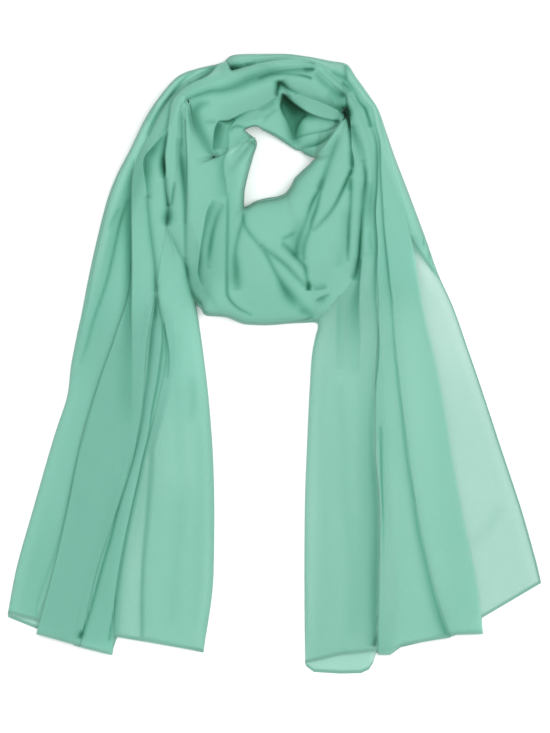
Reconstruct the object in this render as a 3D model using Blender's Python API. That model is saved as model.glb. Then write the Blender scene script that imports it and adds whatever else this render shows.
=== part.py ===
"""Chiffon scarf, wound once round the neck and laid down flat, both ends fanned out.

Metres, +Z up, origin in the middle of the footprint on the table.  The cloth is
one 500 x 1800 mm length.  Each stretch of it that shows is a solid of its own: its
hidden layers share the solid, the underside rests flat on the table and the top
follows the folds.  Stretches are laid out on a plan grid (x to the right, y down)
whose unit comes from the real length of the cloth.
"""
import math

import bmesh
import bpy
import numpy as np

CLOTH_LENGTH = 1.800
CLOTH_WIDTH = 0.500
PATH_IN_UNITS = 2070.0
UNIT = CLOTH_LENGTH / PATH_IN_UNITS
PLAN_CENTRE = (274.5, 364.0)
MILLIMETRE = 0.001
SEAM_GAP = 1.0 * MILLIMETRE
WALL = 1.2 * MILLIMETRE
NOTCH_DEPTH = 0.9 * MILLIMETRE
NOTCH_LEVEL = 0.52
TAIL_START = 0.36
LIP_OFFSET = 1.9
CLOTH_COLOUR = (0.235, 0.535, 0.42, 1.0)

# Seams between neighbouring stretches, plan points.
SEAMS = {
    "band": ((218.5, 64.6), (224, 66.6), (231, 67.4), (239, 64.8), (248, 63), (266, 60.3),
             (290, 59), (304, 60.5), (314.3, 62.8)),
    "crest": ((314.4, 68.8), (302, 68), (290, 69), (266, 74), (248, 80), (226, 88.8),
              (212, 91), (200, 94.5), (193, 97.5), (188.5, 101)),
    "cross": ((314.5, 62.5), (315, 71), (324, 80), (334, 87), (344, 95.5), (347, 104),
              (347.5, 114)),
    "back": ((347.2, 121), (340, 114), (332.5, 107.5), (318, 100), (304, 96), (290.5, 93),
             (282, 87.5), (277, 96.5), (270, 100.5), (257, 108), (239, 116), (227.5, 123),
             (222.5, 136), (215, 157)),
    "bulge": ((188.5, 101.5), (193, 125), (201, 142), (214, 157.5)),
    "left": ((187.5, 101.5), (182, 106), (180, 116), (178.5, 140), (177, 163), (173.7, 190),
             (171, 209), (168.7, 224), (175.7, 246.5), (183.8, 261), (187.8, 277),
             (194.5, 298), (196.6, 303.5), (199, 309)),
    "right": ((347.3, 113), (350, 119), (353, 130), (359, 143), (363.5, 161), (365.4, 181),
              (363.4, 203), (361.8, 219), (360.6, 241), (358, 263), (352, 278), (345, 289),
              (336, 298), (326, 310), (317.6, 322)),
    "collar": ((215, 158), (221.5, 156), (228, 153), (234, 149.8), (240, 146), (246, 141.4),
               (250.5, 137.3)),
    "hollow": ((316.5, 156.5), (325, 146.5), (333, 135.5), (339, 126.5), (345, 118.6)),
}

# One row per section across the stretch, one column per guide line, each entry
# (x, y) on the plan and the height in mm.  None lies midway between its neighbours.
LEFT_LINES = ("outer", "shoulder", "pleat", "flap", "foot", "inner")
LEFT_SECTIONS = (
    ((307.4, 61.8, 18), (308.8, 63.2, 22), (310, 64.7, 25), (311.2, 66, 27),
     (312.2, 67.3, 27.5), (313, 68.7, 27)),
    ((300, 60.6, 18), (300, 62.5, 23), (300, 64.5, 27), (300, 66, 29), None, (300, 67.8, 28)),
    ((285, 60, 17), (285, 62.2, 23), (285, 64.5, 28), (285, 66.6, 30), None, (285, 69.3, 29)),
    ((266, 61, 16), (266.5, 64, 23), (267, 67, 29), (267.5, 69.6, 31), None, (268, 73, 30)),
    ((247, 64.2, 14), (248, 67.6, 22), (249, 71.5, 29), (250, 75, 31), None, (251, 79, 31)),
    ((231, 67.4, 9), (232, 70, 20), (233, 73.4, 28), (234.5, 78.6, 32), None, (236, 84, 32)),
    ((217, 64.2, 5), (216.5, 67.8, 18), (217.5, 73.6, 28), (219, 81, 33), None,
     (220, 89.5, 33)),
    ((197, 68.2, 5), (199.5, 74.5, 19), (203, 80, 29), (206, 85.5, 34), None, (208, 91.5, 34)),
    ((178, 75.8, 5), (182, 85, 21), (187, 88.6, 30), (191, 92, 35), None, (195, 96, 35)),
    ((160.5, 95.5, 5), (166, 103, 21), (172.5, 101.8, 29), (180, 99.5, 34), None,
     (187, 101.5, 35)),
    ((145, 119, 5), (151, 130, 20), (165, 127, 28), (172.5, 121, 33), None, (180, 116, 35)),
    ((130, 150, 5), (136.5, 161, 18), (146, 160, 27), (164, 152, 30), None, (178, 150, 34)),
    ((117, 175, 4.5), (131.3, 182, 17), (145.5, 180, 25), (163.2, 174, 27), None,
     (175.5, 178, 32)),
    ((107, 201, 4), (131.2, 214, 15), (148.3, 211, 22), (166.4, 199, 24), None,
     (172, 203, 29)),
    ((97, 240, 4), (131, 244, 13), (151.5, 240, 18), (165.6, 229, 20), None, (168.7, 226, 24)),
    ((88, 276, 3.8), (130.4, 272, 11), (154.8, 268, 14.5), (160.4, 259, 16), None,
     (182, 258, 18)),
    ((80, 312, 3.6), (127, 300, 10), (155, 293, 12), (157, 290.5, 13.5),
     (161.5, 290, 12), (191.5, 288, 13)),
    ((75, 335, 3.4), (117, 331, 9), (149.5, 326, 9.5), (164.5, 322, 12), (169.5, 322, 9),
     (197.4, 307, 5)),
    ((71, 366, 3.2), (104.5, 366, 8), (145.6, 359, 8.6), (165.6, 358, 10.5),
     (170.5, 358, 7.4), (205.5, 356, 3.4)),
    ((68.3, 397, 3), (92, 403, 7), (143, 402, 7.6), (157.5, 402, 8.6), (162.5, 402, 6),
     (210.5, 402, 3)),
    ((55.5, 439, 3), (79, 450, 6), (135, 453, 6.8), (144.6, 453, 7.4), (149.5, 453, 5),
     (213, 455, 2.8)),
    ((37, 506, 3), (68, 512, 5.6), (117.5, 510, 6.4), (131.8, 508, 6.8), (136.5, 508, 4.4),
     (213.6, 508, 2.8)),
    ((18.4, 567, 3), (54, 572, 5.2), (98, 566, 6), (119.2, 568, 6.2), (123.5, 568, 4),
     (212, 571, 2.8)),
    ((8, 614.4, 2.8), (36, 628.5, 5), (81, 636, 5.6), (110, 636, 5.6), (116.5, 634, 3.8),
     (203.8, 649, 2.8)),
    ((8, 615, 1.4), (36, 629.5, 1.9), (81, 637, 2.2), (110, 637, 2.2), (116.6, 634.8, 1.4),
     (203.7, 649.8, 1.4)),
    ((8, 615.6, 1.2), (36, 633.5, 1.9), (79, 646, 2.2), (111.5, 654.2, 2.2),
     (117, 635.8, 1.3), (203.5, 650.6, 1.2)),
)
RIGHT_LINES = ("inner", "belly", "fold", "rim", "body", "foot", "outer")
RIGHT_SECTIONS = (
    ((227, 67, 5), (226, 65.4, 6), (225.4, 63.8, 7), (225.4, 62.4, 7), (226, 61, 6.5),
     (227, 59.6, 5.5), (229, 57.8, 4)),
    ((233, 66.4, 10), None, (233, 63.2, 14), None, (233, 59, 11), None,
     (233.6, 55.6, 4.4)),
    ((240, 63.6, 13), None, (240, 61.4, 17), None, (240, 58, 12), None, (240, 54.6, 4.5)),
    ((257, 61.2, 15), None, (257, 59.4, 18), None, (256.4, 56.4, 14), None, (256, 54, 5)),
    ((285, 58.6, 16), None, (284.5, 57.4, 18), None, (283, 55.5, 14), None, (282, 54, 5)),
    ((303, 60, 17), None, (304, 59, 19), None, (305, 57.6, 15), None, (306, 56.4, 5)),
    ((315, 66, 22), None, (321, 65.2, 27), (325, 64.2, 27), (328, 62.8, 20), None,
     (330.5, 61, 6)),
    ((324.6, 79.8, 27), None, (335, 74.5, 32), (342, 71, 32), (346, 67.4, 24), None,
     (347.5, 64.3, 6)),
    ((337, 89.4, 28), None, (346, 86, 34), (350, 83.5, 34), (354, 79, 26), None,
     (357.4, 76, 6)),
    ((347, 103, 28), None, (357, 99.5, 34), (361, 97, 34), (366, 94.6, 26), None,
     (371, 95.4, 6)),
    ((351, 121, 28), None, (367, 114.4, 33), (371.4, 110.4, 33), (376, 108.6, 25), None,
     (378.6, 110.4, 6)),
    ((357.8, 140, 28), None, (374.6, 134.4, 32), (377, 131.4, 32), (382, 130.5, 24), None,
     (386, 131.5, 6)),
    ((363.4, 160, 27), None, (377.6, 158, 30), (379.4, 157, 30), (388, 154.5, 23), None,
     (394, 155, 5)),
    ((365.6, 182, 25), None, (376.6, 182, 28), (380, 181.5, 28), (396, 180, 21), None,
     (403.6, 180, 5)),
    ((362.8, 211, 23), None, (375, 211.5, 25), (381.8, 211, 25), (404, 210, 18), None,
     (415.4, 211, 4)),
    ((360.8, 240, 20), None, (377.3, 241, 21), (384.3, 241, 21), (412.5, 242, 14),
     (415.5, 242, 12), (426.5, 242, 3.6)),
    ((356, 270, 16), None, (377, 272, 17), (387.5, 273, 17), (418.5, 273, 11),
     (421.5, 273, 8.5), (438.5, 274, 3)),
    ((326.5, 309, 9), (352, 306, 12), (378.5, 305, 13), (392.5, 305, 13), (425, 306, 8.5),
     (428, 306, 5.6), (453.4, 308, 2.6)),
    ((313.6, 345, 3.6), (346, 345, 8), (377.5, 345, 10.5), (395.2, 345, 10.5),
     (433, 345, 7), (436, 345, 4), (467.5, 348, 2.2)),
    ((310.5, 390, 3.2), (344, 388, 6.4), (375.5, 387, 8.8), (399.5, 387, 8.8),
     (442, 387, 6), (445, 387, 3.2), (481, 387, 1.8)),
    ((307.6, 445, 3), (342, 445, 5.4), (375.6, 445, 7.6), (407, 445, 7.6),
     (452.5, 445, 5.2), (455.5, 445, 2.6), (501.4, 445, 1.6)),
    ((305.4, 510, 2.8), (343, 510, 4.6), (380, 510, 6.8), (416.5, 510, 6.8),
     (464, 510, 4.8), (467, 510, 2.1), (521, 508, 1.4)),
    ((305, 580, 2.8), (342, 580, 4.2), (379.4, 580, 6.2), (432, 580, 6.2),
     (476.8, 576, 4.4), (480, 572, 1.8), (535, 557, 1.3)),
    ((306, 659, 2.8), (342, 652.6, 4), (377, 652.6, 5.8), (449.5, 636.5, 5.8),
     (483, 631.5, 4.2), (486, 615, 1.6), (541, 580, 1.3)),
    ((306, 660, 1.4), (342, 653.6, 1.4), (377, 653.6, 1.6), (449.6, 637.3, 1.8),
     (483.2, 632.6, 1.4), (486.1, 616, 1.3), (541.1, 580.6, 1.2)),
    ((308.5, 669.5, 1.2), (340, 674, 1.2), (371.5, 668, 1.2), (450, 637.8, 1.4),
     (483.6, 633.4, 1.3), (486.4, 617, 1.2), (541.3, 581.2, 1.2)),
)
ARCH_LINES = ("crest", "belly", "edge")
ARCH_SECTIONS = (
    ((315, 70, 27), (329, 84.5, 29), (345.5, 111, 24)),
    ((302, 68.8, 29), (315, 83, 30), (329, 105.5, 22)),
    ((291, 69.3, 30), (298, 81, 30), (308, 96.6, 20)),
    ((281, 70.8, 30), (282.4, 78, 29), (282.4, 87.4, 19)),
    ((272, 73, 31), (275, 85, 30), (277.2, 96, 19)),
    ((258, 77, 31), (263, 90, 30), (266, 102.6, 19)),
    ((245, 81.5, 32), (250, 96, 31), (252, 110.6, 19)),
    ((230, 87.6, 33), (236.5, 102, 31), (238.6, 116, 19)),
    ((214, 91, 34), (222, 106, 32), (227.4, 123.4, 19)),
    ((203, 93.8, 35), (210, 113, 32), (222.8, 136, 18)),
    ((195, 97.4, 35), (203, 121, 31), (218.6, 148, 18)),
    ((189.4, 103, 34), (198.6, 134, 29), (213.2, 154.4, 18)),
)
LOOP_LINES = ("outer", "ridge", "roll", "inner")
LOOP_SECTIONS = (
    ((184, 105, 31), (186, 105.5, 33.5), (188, 106, 34), (189.8, 106.6, 31)),
    ((181, 111.6, 30), (184.4, 112.5, 34), (188, 114, 35), (191, 115.6, 30)),
    ((179.6, 126, 29), (184.6, 127, 34), (190, 128, 35), (194, 128.6, 29)),
    ((178.4, 142, 28), (184, 143, 34), (191, 146, 34), (202.4, 144, 27)),
    ((177.4, 157, 27), (185, 159, 34), (196, 164, 34), (215, 159.4, 26)),
    ((176, 174, 27), (187, 174, 34), (206, 175, 34), (235, 149.6, 24)),
    ((173.6, 191, 26), (190, 190, 34), (216, 183, 34), (252.4, 139.6, 18)),
    ((171.6, 206, 25), (192, 204, 33), (222, 191, 34), (256, 144, 13)),
    ((168.9, 223.4, 24), (191, 216, 32), (223, 201, 34), (252.4, 158, 12)),
    ((175.8, 246.4, 22), (195, 234, 31), (222, 212, 34), (248, 176, 12)),
    ((183.6, 261, 20), (200, 247, 30), (224, 223, 34), (244.6, 193, 11)),
    ((188, 277, 17), (205, 258, 28), (229, 231, 33), (244.2, 206.6, 11)),
    ((195.6, 301.4, 10), (213, 272, 26), (236, 237, 32), (248.5, 205.5, 11)),
    ((206, 315.4, 5), (222, 280, 25), (243, 241, 32), (255.6, 201.2, 11)),
    ((226, 317.4, 5), (235, 284, 25), (252, 243, 32), (262, 199.2, 11)),
    ((247, 324.6, 5), (253, 287, 25), (262, 243, 32), (268, 197.8, 11)),
    ((268, 325.2, 5), (270, 287, 25), (272, 242, 32), (274.4, 197, 11)),
    ((290, 323.6, 5), (287, 284, 25), (282, 239, 32), (280, 195.6, 11)),
    ((316.8, 321.6, 6), (304, 277, 26), (291, 233, 32), (285.6, 193, 11)),
    ((336, 297.6, 12), (319, 262, 28), (300, 225, 33), (288.4, 189.6, 11)),
    ((351.6, 278, 17), (330, 246, 30), (307, 216, 33), (291, 185.4, 11)),
    ((358, 262, 20), (336, 232, 31), (312, 206, 33), (294.4, 178.6, 11)),
    ((360.4, 242, 23), (341, 217, 32), (318, 195, 33), (298, 174.8, 12)),
    ((361.6, 220, 25), (344, 202, 32), (323, 185, 33), (302.6, 170.2, 12)),
    ((363.4, 200, 26), (347, 187, 33), (328, 175, 33), (306.8, 166.6, 13)),
    ((365, 180, 27), (349, 172, 33), (332, 165, 33), (312, 161.4, 14)),
    ((362.8, 160, 28), (350, 156, 33), (336, 152.6, 32), (317, 156.6, 18)),
    ((358.4, 142.4, 28), (349.6, 141, 33), (340, 139, 31), (326, 145.4, 22)),
    ((352.6, 129.6, 28), (347.6, 130, 31), (342, 130, 29), (334, 134, 23)),
    ((350.4, 121.4, 27), (348, 121.2, 29), (345.4, 121.2, 28), (343, 121.4, 24)),
)
BACK_LINES = ("upper", "middle", "lower")
BACK_SECTIONS = (
    ((217.4, 152, 17), (222, 153.4, 17), (227, 153.2, 17)),
    ((220.6, 143.6, 17), (230, 145.4, 18), (238.6, 145, 15)),
    ((223, 136, 17), (236, 138, 18), (248.6, 135.2, 11)),
    ((228, 124, 17), (237, 127.4, 18), (245.4, 129.9, 10)),
    ((240, 116.6, 18), (248, 121.6, 17), (256.2, 126.4, 9)),
    ((253, 111, 18), (258.6, 119.4, 16), (264, 131, 9)),
    ((264.6, 104.6, 18), (269, 118, 15), (275, 136.8, 9)),
    ((276, 98.4, 17), (280.6, 117, 13), (287, 144.5, 9)),
    ((282.4, 89, 17), (289, 115, 10), (296.6, 150.3, 9)),
    ((291, 94, 21), (297, 117, 11), (301.4, 151.4, 9)),
    ((304, 97, 22), (307.6, 121, 12), (305.6, 154.8, 9)),
    ((318.4, 101, 22), (320, 123, 14), (315.4, 156.8, 10)),
    ((331.8, 108, 22), (329.4, 125.6, 15), (325, 145.6, 14)),
    ((338.4, 113.2, 22), (336, 123, 17), (332.8, 135.6, 17)),
    ((343, 116.8, 22), (340.4, 121.6, 20), (337.4, 128, 18)),
)

# Folds: kind, amount in mm, width in mm, plan points.  A lip stands up along the
# left of its line, seen walking down it, and drops away on the right; "lipr" is
# its mirror image.
LEFT_FOLDS = (
    ("lip", 3.6, 3.0, ((226, 63.5), (207, 70), (196, 75), (182, 85), (168, 100), (151, 131),
                       (136.5, 161), (131.5, 182), (131, 217), (131, 271), (131, 330),
                       (133, 400))),
    ("groove", 3.0, 3.0, ((236, 67), (212, 75), (195, 82.5), (179, 94), (170, 106), (166, 134))),
    ("lip", 2.6, 2.4, ((166, 134), (150, 152), (142, 163), (145, 177), (148, 204), (150, 230),
                       (154, 257), (155.6, 284), (154, 301), (150, 324), (146, 351),
                       (143.8, 399), (133, 460), (117.8, 506), (101, 555), (81, 636))),
    ("lipr", 2.2, 2.4, ((128, 212), (123, 250), (130, 290), (117, 331), (101, 374), (89, 414),
                        (76.5, 460), (66, 521), (53.5, 573), (38, 604), (36, 628))),
    ("groove", 7.0, 2.6, ((167, 134), (163.4, 150), (163, 170), (166.4, 194), (168, 224))),
    ("groove", 2.0, 3.0, ((129, 201), (117, 244), (107, 277), (90, 333), (78, 375))),
    ("lipr", 1.8, 2.0, ((156, 292), (162, 316), (167.7, 338), (165, 362), (156, 408), (145, 451),
                        (134.6, 497), (122, 546), (109.5, 634))),
)
RIGHT_FOLDS = (
    ("groove", 4.0, 2.4, ((341, 81), (344, 85), (355, 100), (365, 109), (373, 130), (378, 161),
                          (376.8, 181), (375.2, 219), (377.4, 241), (378.5, 300))),
    ("lip", 2.8, 2.4, ((378.5, 270), (378.5, 300), (377.4, 328), (377, 375), (374, 419),
                       (377, 466), (380, 512), (380.6, 544), (378.4, 590), (377, 650))),
    ("groove", 3.0, 2.2, ((347, 64), (346, 75), (350, 86), (364.6, 100.4), (371, 106), (378, 143),
                          (379.5, 197.5), (382.8, 219), (388, 279), (395.6, 350))),
    ("lip", 1.8, 2.2, ((388, 279), (393.6, 317), (395.6, 350), (403.4, 419), (414.4, 497),
                       (427, 559), (437.8, 600), (450, 636))),
    ("groove", 2.4, 3.0, ((366, 190), (366, 240), (364, 280), (352, 320), (360, 372))),
)
ARCH_FOLDS = (
    ("groove", 2.4, 2.6, ((285, 74), (300, 76), (314, 79.5))),
    ("groove", 5.0, 2.6, ((279.5, 80), (278, 90), (277, 98))),
    ("ridge", 2.6, 7.0, ((206, 104), (212, 126), (218, 148))),
)
LOOP_FOLDS = (
    ("groove", 4.0, 3.0, ((243, 215), (243, 223.6), (258.5, 241), (269, 250.7), (290, 269),
                          (305.8, 285))),
    ("groove", 3.0, 2.6, ((244, 212.7), (262, 228), (282, 243), (291.7, 251.8), (302.5, 264.8),
                          (308, 283))),
    ("groove", 3.0, 3.0, ((255, 243), (269, 262.6), (278, 277.8), (297, 302.7), (318.8, 316.8))),
    ("groove", 3.4, 3.0, ((229, 205), (227.5, 241), (226.5, 262.6), (226.5, 293), (232.4, 302.7),
                          (258.5, 319))),
    ("groove", 2.4, 3.0, ((243, 225), (236.8, 251.8), (234.6, 262.6), (236.8, 283))),
    ("groove", 3.6, 3.2, ((215, 203), (206.4, 213.8), (203, 235.5), (198.8, 257), (202, 285))),
    ("groove", 2.2, 2.8, ((220.5, 211.6), (214, 230), (210.7, 246), (208.5, 263))),
    ("groove", 4.0, 2.6, ((180, 114.6), (179.5, 143), (183, 160), (185.6, 190), (185.4, 244),
                          (186.5, 268))),
    ("groove", 3.0, 3.4, ((350.4, 143), (352, 161), (344.8, 184.5), (335, 206), (313.4, 230))),
    ("groove", 2.4, 2.8, ((352, 179), (351.4, 197.5), (347, 230), (347, 257))),
    ("groove", 3.8, 3.2, ((334, 140), (327.5, 165), (318.8, 186.7), (308, 213.8), (303.6, 246),
                          (308, 283))),
    ("groove", 2.0, 2.6, ((282, 243), (296.6, 234))),
    ("groove", 3.0, 2.6, ((306, 289.7), (328.6, 288.6))),
)
BACK_FOLDS = (
    ("groove", 7.0, 4.4, ((285, 97), (296, 112), (306, 117), (294, 138))),
    ("ridge", 4.0, 3.4, ((288, 97), (304, 103.5), (318, 108.5), (333, 113.5), (343, 121))),
    ("groove", 2.4, 2.4, ((294, 140), (310, 136), (328, 130.7), (338, 123))),
    ("groove", 2.4, 2.4, ((305.7, 147), (320, 143), (331, 136))),
)

# name, sections, folds, stations along, columns per panel, rounding of the two sides
# and the seams along each side: 1 where the stretch lies on the right of the seam,
# seen walking along it on the plan, and -1 where it lies on the left
STRETCHES = (
    {"name": "left_arch_and_tail", "sections": LEFT_SECTIONS, "folds": LEFT_FOLDS,
     "stations": 76, "columns": (3, 4, 3, 2, 4), "base_columns": [], "rounded": (True, False), "layered": True,
     "outer_seams": (("band", 1),), "inner_seams": (("crest", 1), ("left", 1))},
    {"name": "right_band_and_tail", "sections": RIGHT_SECTIONS, "folds": RIGHT_FOLDS,
     "stations": 76, "columns": (2, 3, 3, 4, 1, 4), "base_columns": [], "rounded": (False, True), "layered": True,
     "outer_seams": (("band", -1), ("cross", -1), ("right", -1)), "inner_seams": ()},
    {"name": "top_arch_panel", "sections": ARCH_SECTIONS, "folds": ARCH_FOLDS,
     "stations": 34, "columns": (6, 6), "base_columns": [7], "rounded": (False, False), "layered": False,
     "outer_seams": (("crest", -1),), "inner_seams": (("back", 1),)},
    {"name": "front_loop", "sections": LOOP_SECTIONS, "folds": LOOP_FOLDS,
     "stations": 70, "columns": (6, 7, 6), "base_columns": [7, 16], "rounded": (True, True), "layered": False,
     "outer_seams": (("left", -1), ("right", 1)),
     "inner_seams": (("bulge", 1), ("collar", 1), ("hollow", 1))},
    {"name": "back_of_neck", "sections": BACK_SECTIONS, "folds": BACK_FOLDS,
     "stations": 34, "columns": (6, 6), "base_columns": [7], "rounded": (False, True), "layered": False,
     "outer_seams": (("back", -1),), "inner_seams": (("collar", -1), ("hollow", -1))},
)
START_SEAMS = {"top_arch_panel": "cross"}
END_SEAMS = {"top_arch_panel": "bulge"}


def clear_scene():
    for old in list(bpy.data.objects):
        bpy.data.objects.remove(old, do_unlink=True)


def spline(points, at):
    """Centripetal-like cubic through the rows of points, at row numbers 'at'."""
    pts = np.asarray(points, float)
    last = len(pts) - 1
    slopes = np.zeros_like(pts)
    slopes[1:-1] = (pts[2:] - pts[:-2]) / 2.0
    slopes[0] = pts[1] - pts[0]
    slopes[-1] = pts[-1] - pts[-2]
    step = pts[1:] - pts[:-1]
    limit = np.full_like(pts, np.inf)
    limit[:-1] = np.minimum(limit[:-1], 2.2 * np.abs(step))
    limit[1:] = np.minimum(limit[1:], 2.2 * np.abs(step))
    slopes = np.clip(slopes, -limit, limit)
    low = np.clip(np.floor(at).astype(int), 0, last - 1)
    t = (at - low)[:, None]
    a = pts[low]
    b = pts[low + 1]
    ma = slopes[low]
    mb = slopes[low + 1]
    h1 = (1 + 2 * t) * (1 - t) ** 2
    h2 = t * (1 - t) ** 2
    h3 = t * t * (3 - 2 * t)
    h4 = t * t * (t - 1)
    return h1 * a + h2 * ma + h3 * b + h4 * mb


def smooth_line(points, per_span=6):
    count = (len(points) - 1) * per_span + 1
    return spline(points, np.linspace(0, len(points) - 1, count))


def nearest(line, pts):
    """Signed distance to a polyline, share of its length there, foot point, normal."""
    best = np.full(len(pts), np.inf)
    sign = np.ones(len(pts))
    share = np.zeros(len(pts))
    foot = np.zeros((len(pts), 2))
    normal = np.zeros((len(pts), 2))
    run = np.concatenate([[0.0], np.cumsum(np.linalg.norm(np.diff(line, axis=0), axis=1))])
    for k in range(len(line) - 1):
        a = line[k]
        d = line[k + 1] - a
        size = float(d @ d)
        if size < 1e-12:
            continue
        rel = pts - a
        t = np.clip(rel @ d / size, 0.0, 1.0)
        close = a + t[:, None] * d
        gap = pts - close
        dist = np.hypot(gap[:, 0], gap[:, 1])
        cross = d[0] * rel[:, 1] - d[1] * rel[:, 0]
        near = dist < best
        best = np.where(near, dist, best)
        sign = np.where(near, np.where(cross < 0, 1.0, -1.0), sign)
        share = np.where(near, (run[k] + t * math.sqrt(size)) / run[-1], share)
        foot[near] = close[near]
        normal[near] = np.array((-d[1], d[0])) / math.sqrt(size)
    return best * sign, share, foot, normal


def fold_height(folds, pts):
    """Height in mm that the folds add at plan points."""
    total = np.zeros(len(pts))
    for kind, amount, width, points in folds:
        line = smooth_line(points)
        dist, share, _, _ = nearest(line, pts)
        d = dist * UNIT / MILLIMETRE
        ends = np.clip(share / 0.10, 0, 1) * np.clip((1 - share) / 0.06, 0, 1)
        ends = ends * ends * (3 - 2 * ends)
        if kind == "groove":
            total -= ends * amount * np.exp(-(d / width) ** 2)
        elif kind == "ridge":
            total += ends * amount * np.exp(-(d / width) ** 2)
        else:
            if kind == "lip":
                d = -d
            high = amount * 0.6 * np.exp(-np.maximum(d, 0) / (width * 3.0))
            low = amount * (1.0 * np.exp(np.minimum(d, 0) / (width * 0.35))
                            - 0.4 * np.exp(np.minimum(d, 0) / (width * 1.6)))
            total += ends * np.where(d >= 0, high, low)
    return total


def filled(sections):
    """Sections with each None set midway between its neighbours."""
    rows = []
    for row in sections:
        full = list(row)
        for k, entry in enumerate(full):
            if entry is None:
                a = np.asarray(full[k - 1], float)
                b = np.asarray(full[k + 1], float)
                full[k] = tuple((a + b) / 2)
        rows.append(full)
    return np.asarray(rows, float)


def snap(edge, seams, reach=4.5):
    """Move an edge onto the seams it runs along, half the seam gap to its own side."""
    moved = edge.copy()
    for name, side in seams:
        line = smooth_line(SEAMS[name], 10)
        dist, share, foot, normal = nearest(line, moved[:, :2])
        on = (np.abs(dist) < reach) & (share > 0.0001) & (share < 0.9999)
        moved[on, :2] = foot[on] + normal[on] * (side * 0.5 * SEAM_GAP / UNIT)
    return moved


def cross_positions(lines, columns):
    """(panel, shares) for every column: panel splits plus a pair close to each line."""
    spots = []
    for panel, count in enumerate(columns):
        width = np.linalg.norm(lines[panel + 1][:, :2] - lines[panel][:, :2], axis=1)
        lip = np.minimum(LIP_OFFSET / np.maximum(width, 1e-6), 0.5 / count)
        shares = [np.full(len(width), k / count) for k in range(count)]
        if panel > 0 and count > 1:
            shares.insert(1, lip)
        if panel < len(columns) - 1 and count > 1:
            shares.append(1 - lip)
        spots += [(panel, s) for s in shares]
    spots.append((len(columns) - 1, np.ones(len(lines[0]))))
    return spots


def build_grid(stretch):
    """Plan points and heights of the top surface, stations x columns."""
    rows = filled(stretch["sections"])
    stations = stretch["stations"]
    at_rows = station_rows(rows, stations)
    lines = [spline(rows[:, k, :], at_rows) for k in range(rows.shape[1])]
    lines[0] = snap(lines[0], stretch["outer_seams"])
    lines[-1] = snap(lines[-1], stretch["inner_seams"])
    spots = cross_positions(lines, stretch["columns"])
    grid = np.zeros((stations, len(spots), 3))
    for c, (panel, share) in enumerate(spots):
        a = lines[panel]
        b = lines[panel + 1]
        grid[:, c, :] = a + (b - a) * share[:, None]
        z_share = share
        if panel == 0 and stretch["rounded"][0]:
            z_share = np.sqrt(1 - (1 - share) ** 2)
        if panel == len(lines) - 2 and stretch["rounded"][1]:
            z_share = 1 - np.sqrt(1 - share ** 2)
        grid[:, c, 2] = a[:, 2] + (b[:, 2] - a[:, 2]) * z_share
    return grid


def station_rows(rows, stations):
    """Row numbers of the stations, evenly spread along the stretch."""
    middle = rows[:, :, :2].mean(axis=1)
    run = np.concatenate([[0.0], np.cumsum(np.linalg.norm(np.diff(middle, axis=0), axis=1))])
    dense = np.linspace(0, len(rows) - 1, 400)
    run_dense = np.interp(dense, np.arange(len(rows)), run)
    spread = np.interp(np.linspace(0, run[-1], stations - len(rows) + 2), run_dense, dense)
    spread = np.concatenate([spread, np.arange(1, len(rows) - 1)])
    spread = np.sort(spread)
    smooth = spread.copy()
    smooth[1:-1] = (spread[2:] + spread[:-2]) / 2 * 0.3 + spread[1:-1] * 0.7
    return smooth


def trim_end(grid, name, seam, first):
    """Pull the first or last station back from the seam it ends on."""
    line = smooth_line(SEAMS[seam], 10)
    index = 0 if first else -1
    other = 1 if first else -2
    pts = grid[index, :, :2]
    dist, share, foot, _ = nearest(line, pts)
    back = grid[other, :, :2] - foot
    back /= np.maximum(np.linalg.norm(back, axis=1), 1e-9)[:, None]
    near = np.abs(dist) < 6.0
    grid[index, near, :2] = foot[near] + back[near] * (0.8 * SEAM_GAP / UNIT)


def edge_notches(top, stations, columns):
    """Points part of the way down each side wall, drawn in between two cloth layers."""
    grid = top.reshape(stations, columns, 3)
    notches = []
    for edge, inner in ((0, 1), (columns - 1, columns - 2)):
        rim = grid[:, edge, :]
        inward = grid[:, inner, :2] - rim[:, :2]
        reach = np.maximum(np.linalg.norm(inward, axis=1), 1e-9)
        depth = np.minimum(NOTCH_DEPTH, 0.45 * reach)
        points = np.zeros((stations, 3))
        points[:, :2] = rim[:, :2] + inward * (depth / reach)[:, None]
        points[:, 2] = rim[:, 2] * NOTCH_LEVEL
        notches.append((points, int(stations * TAIL_START)))
    return notches


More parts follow.
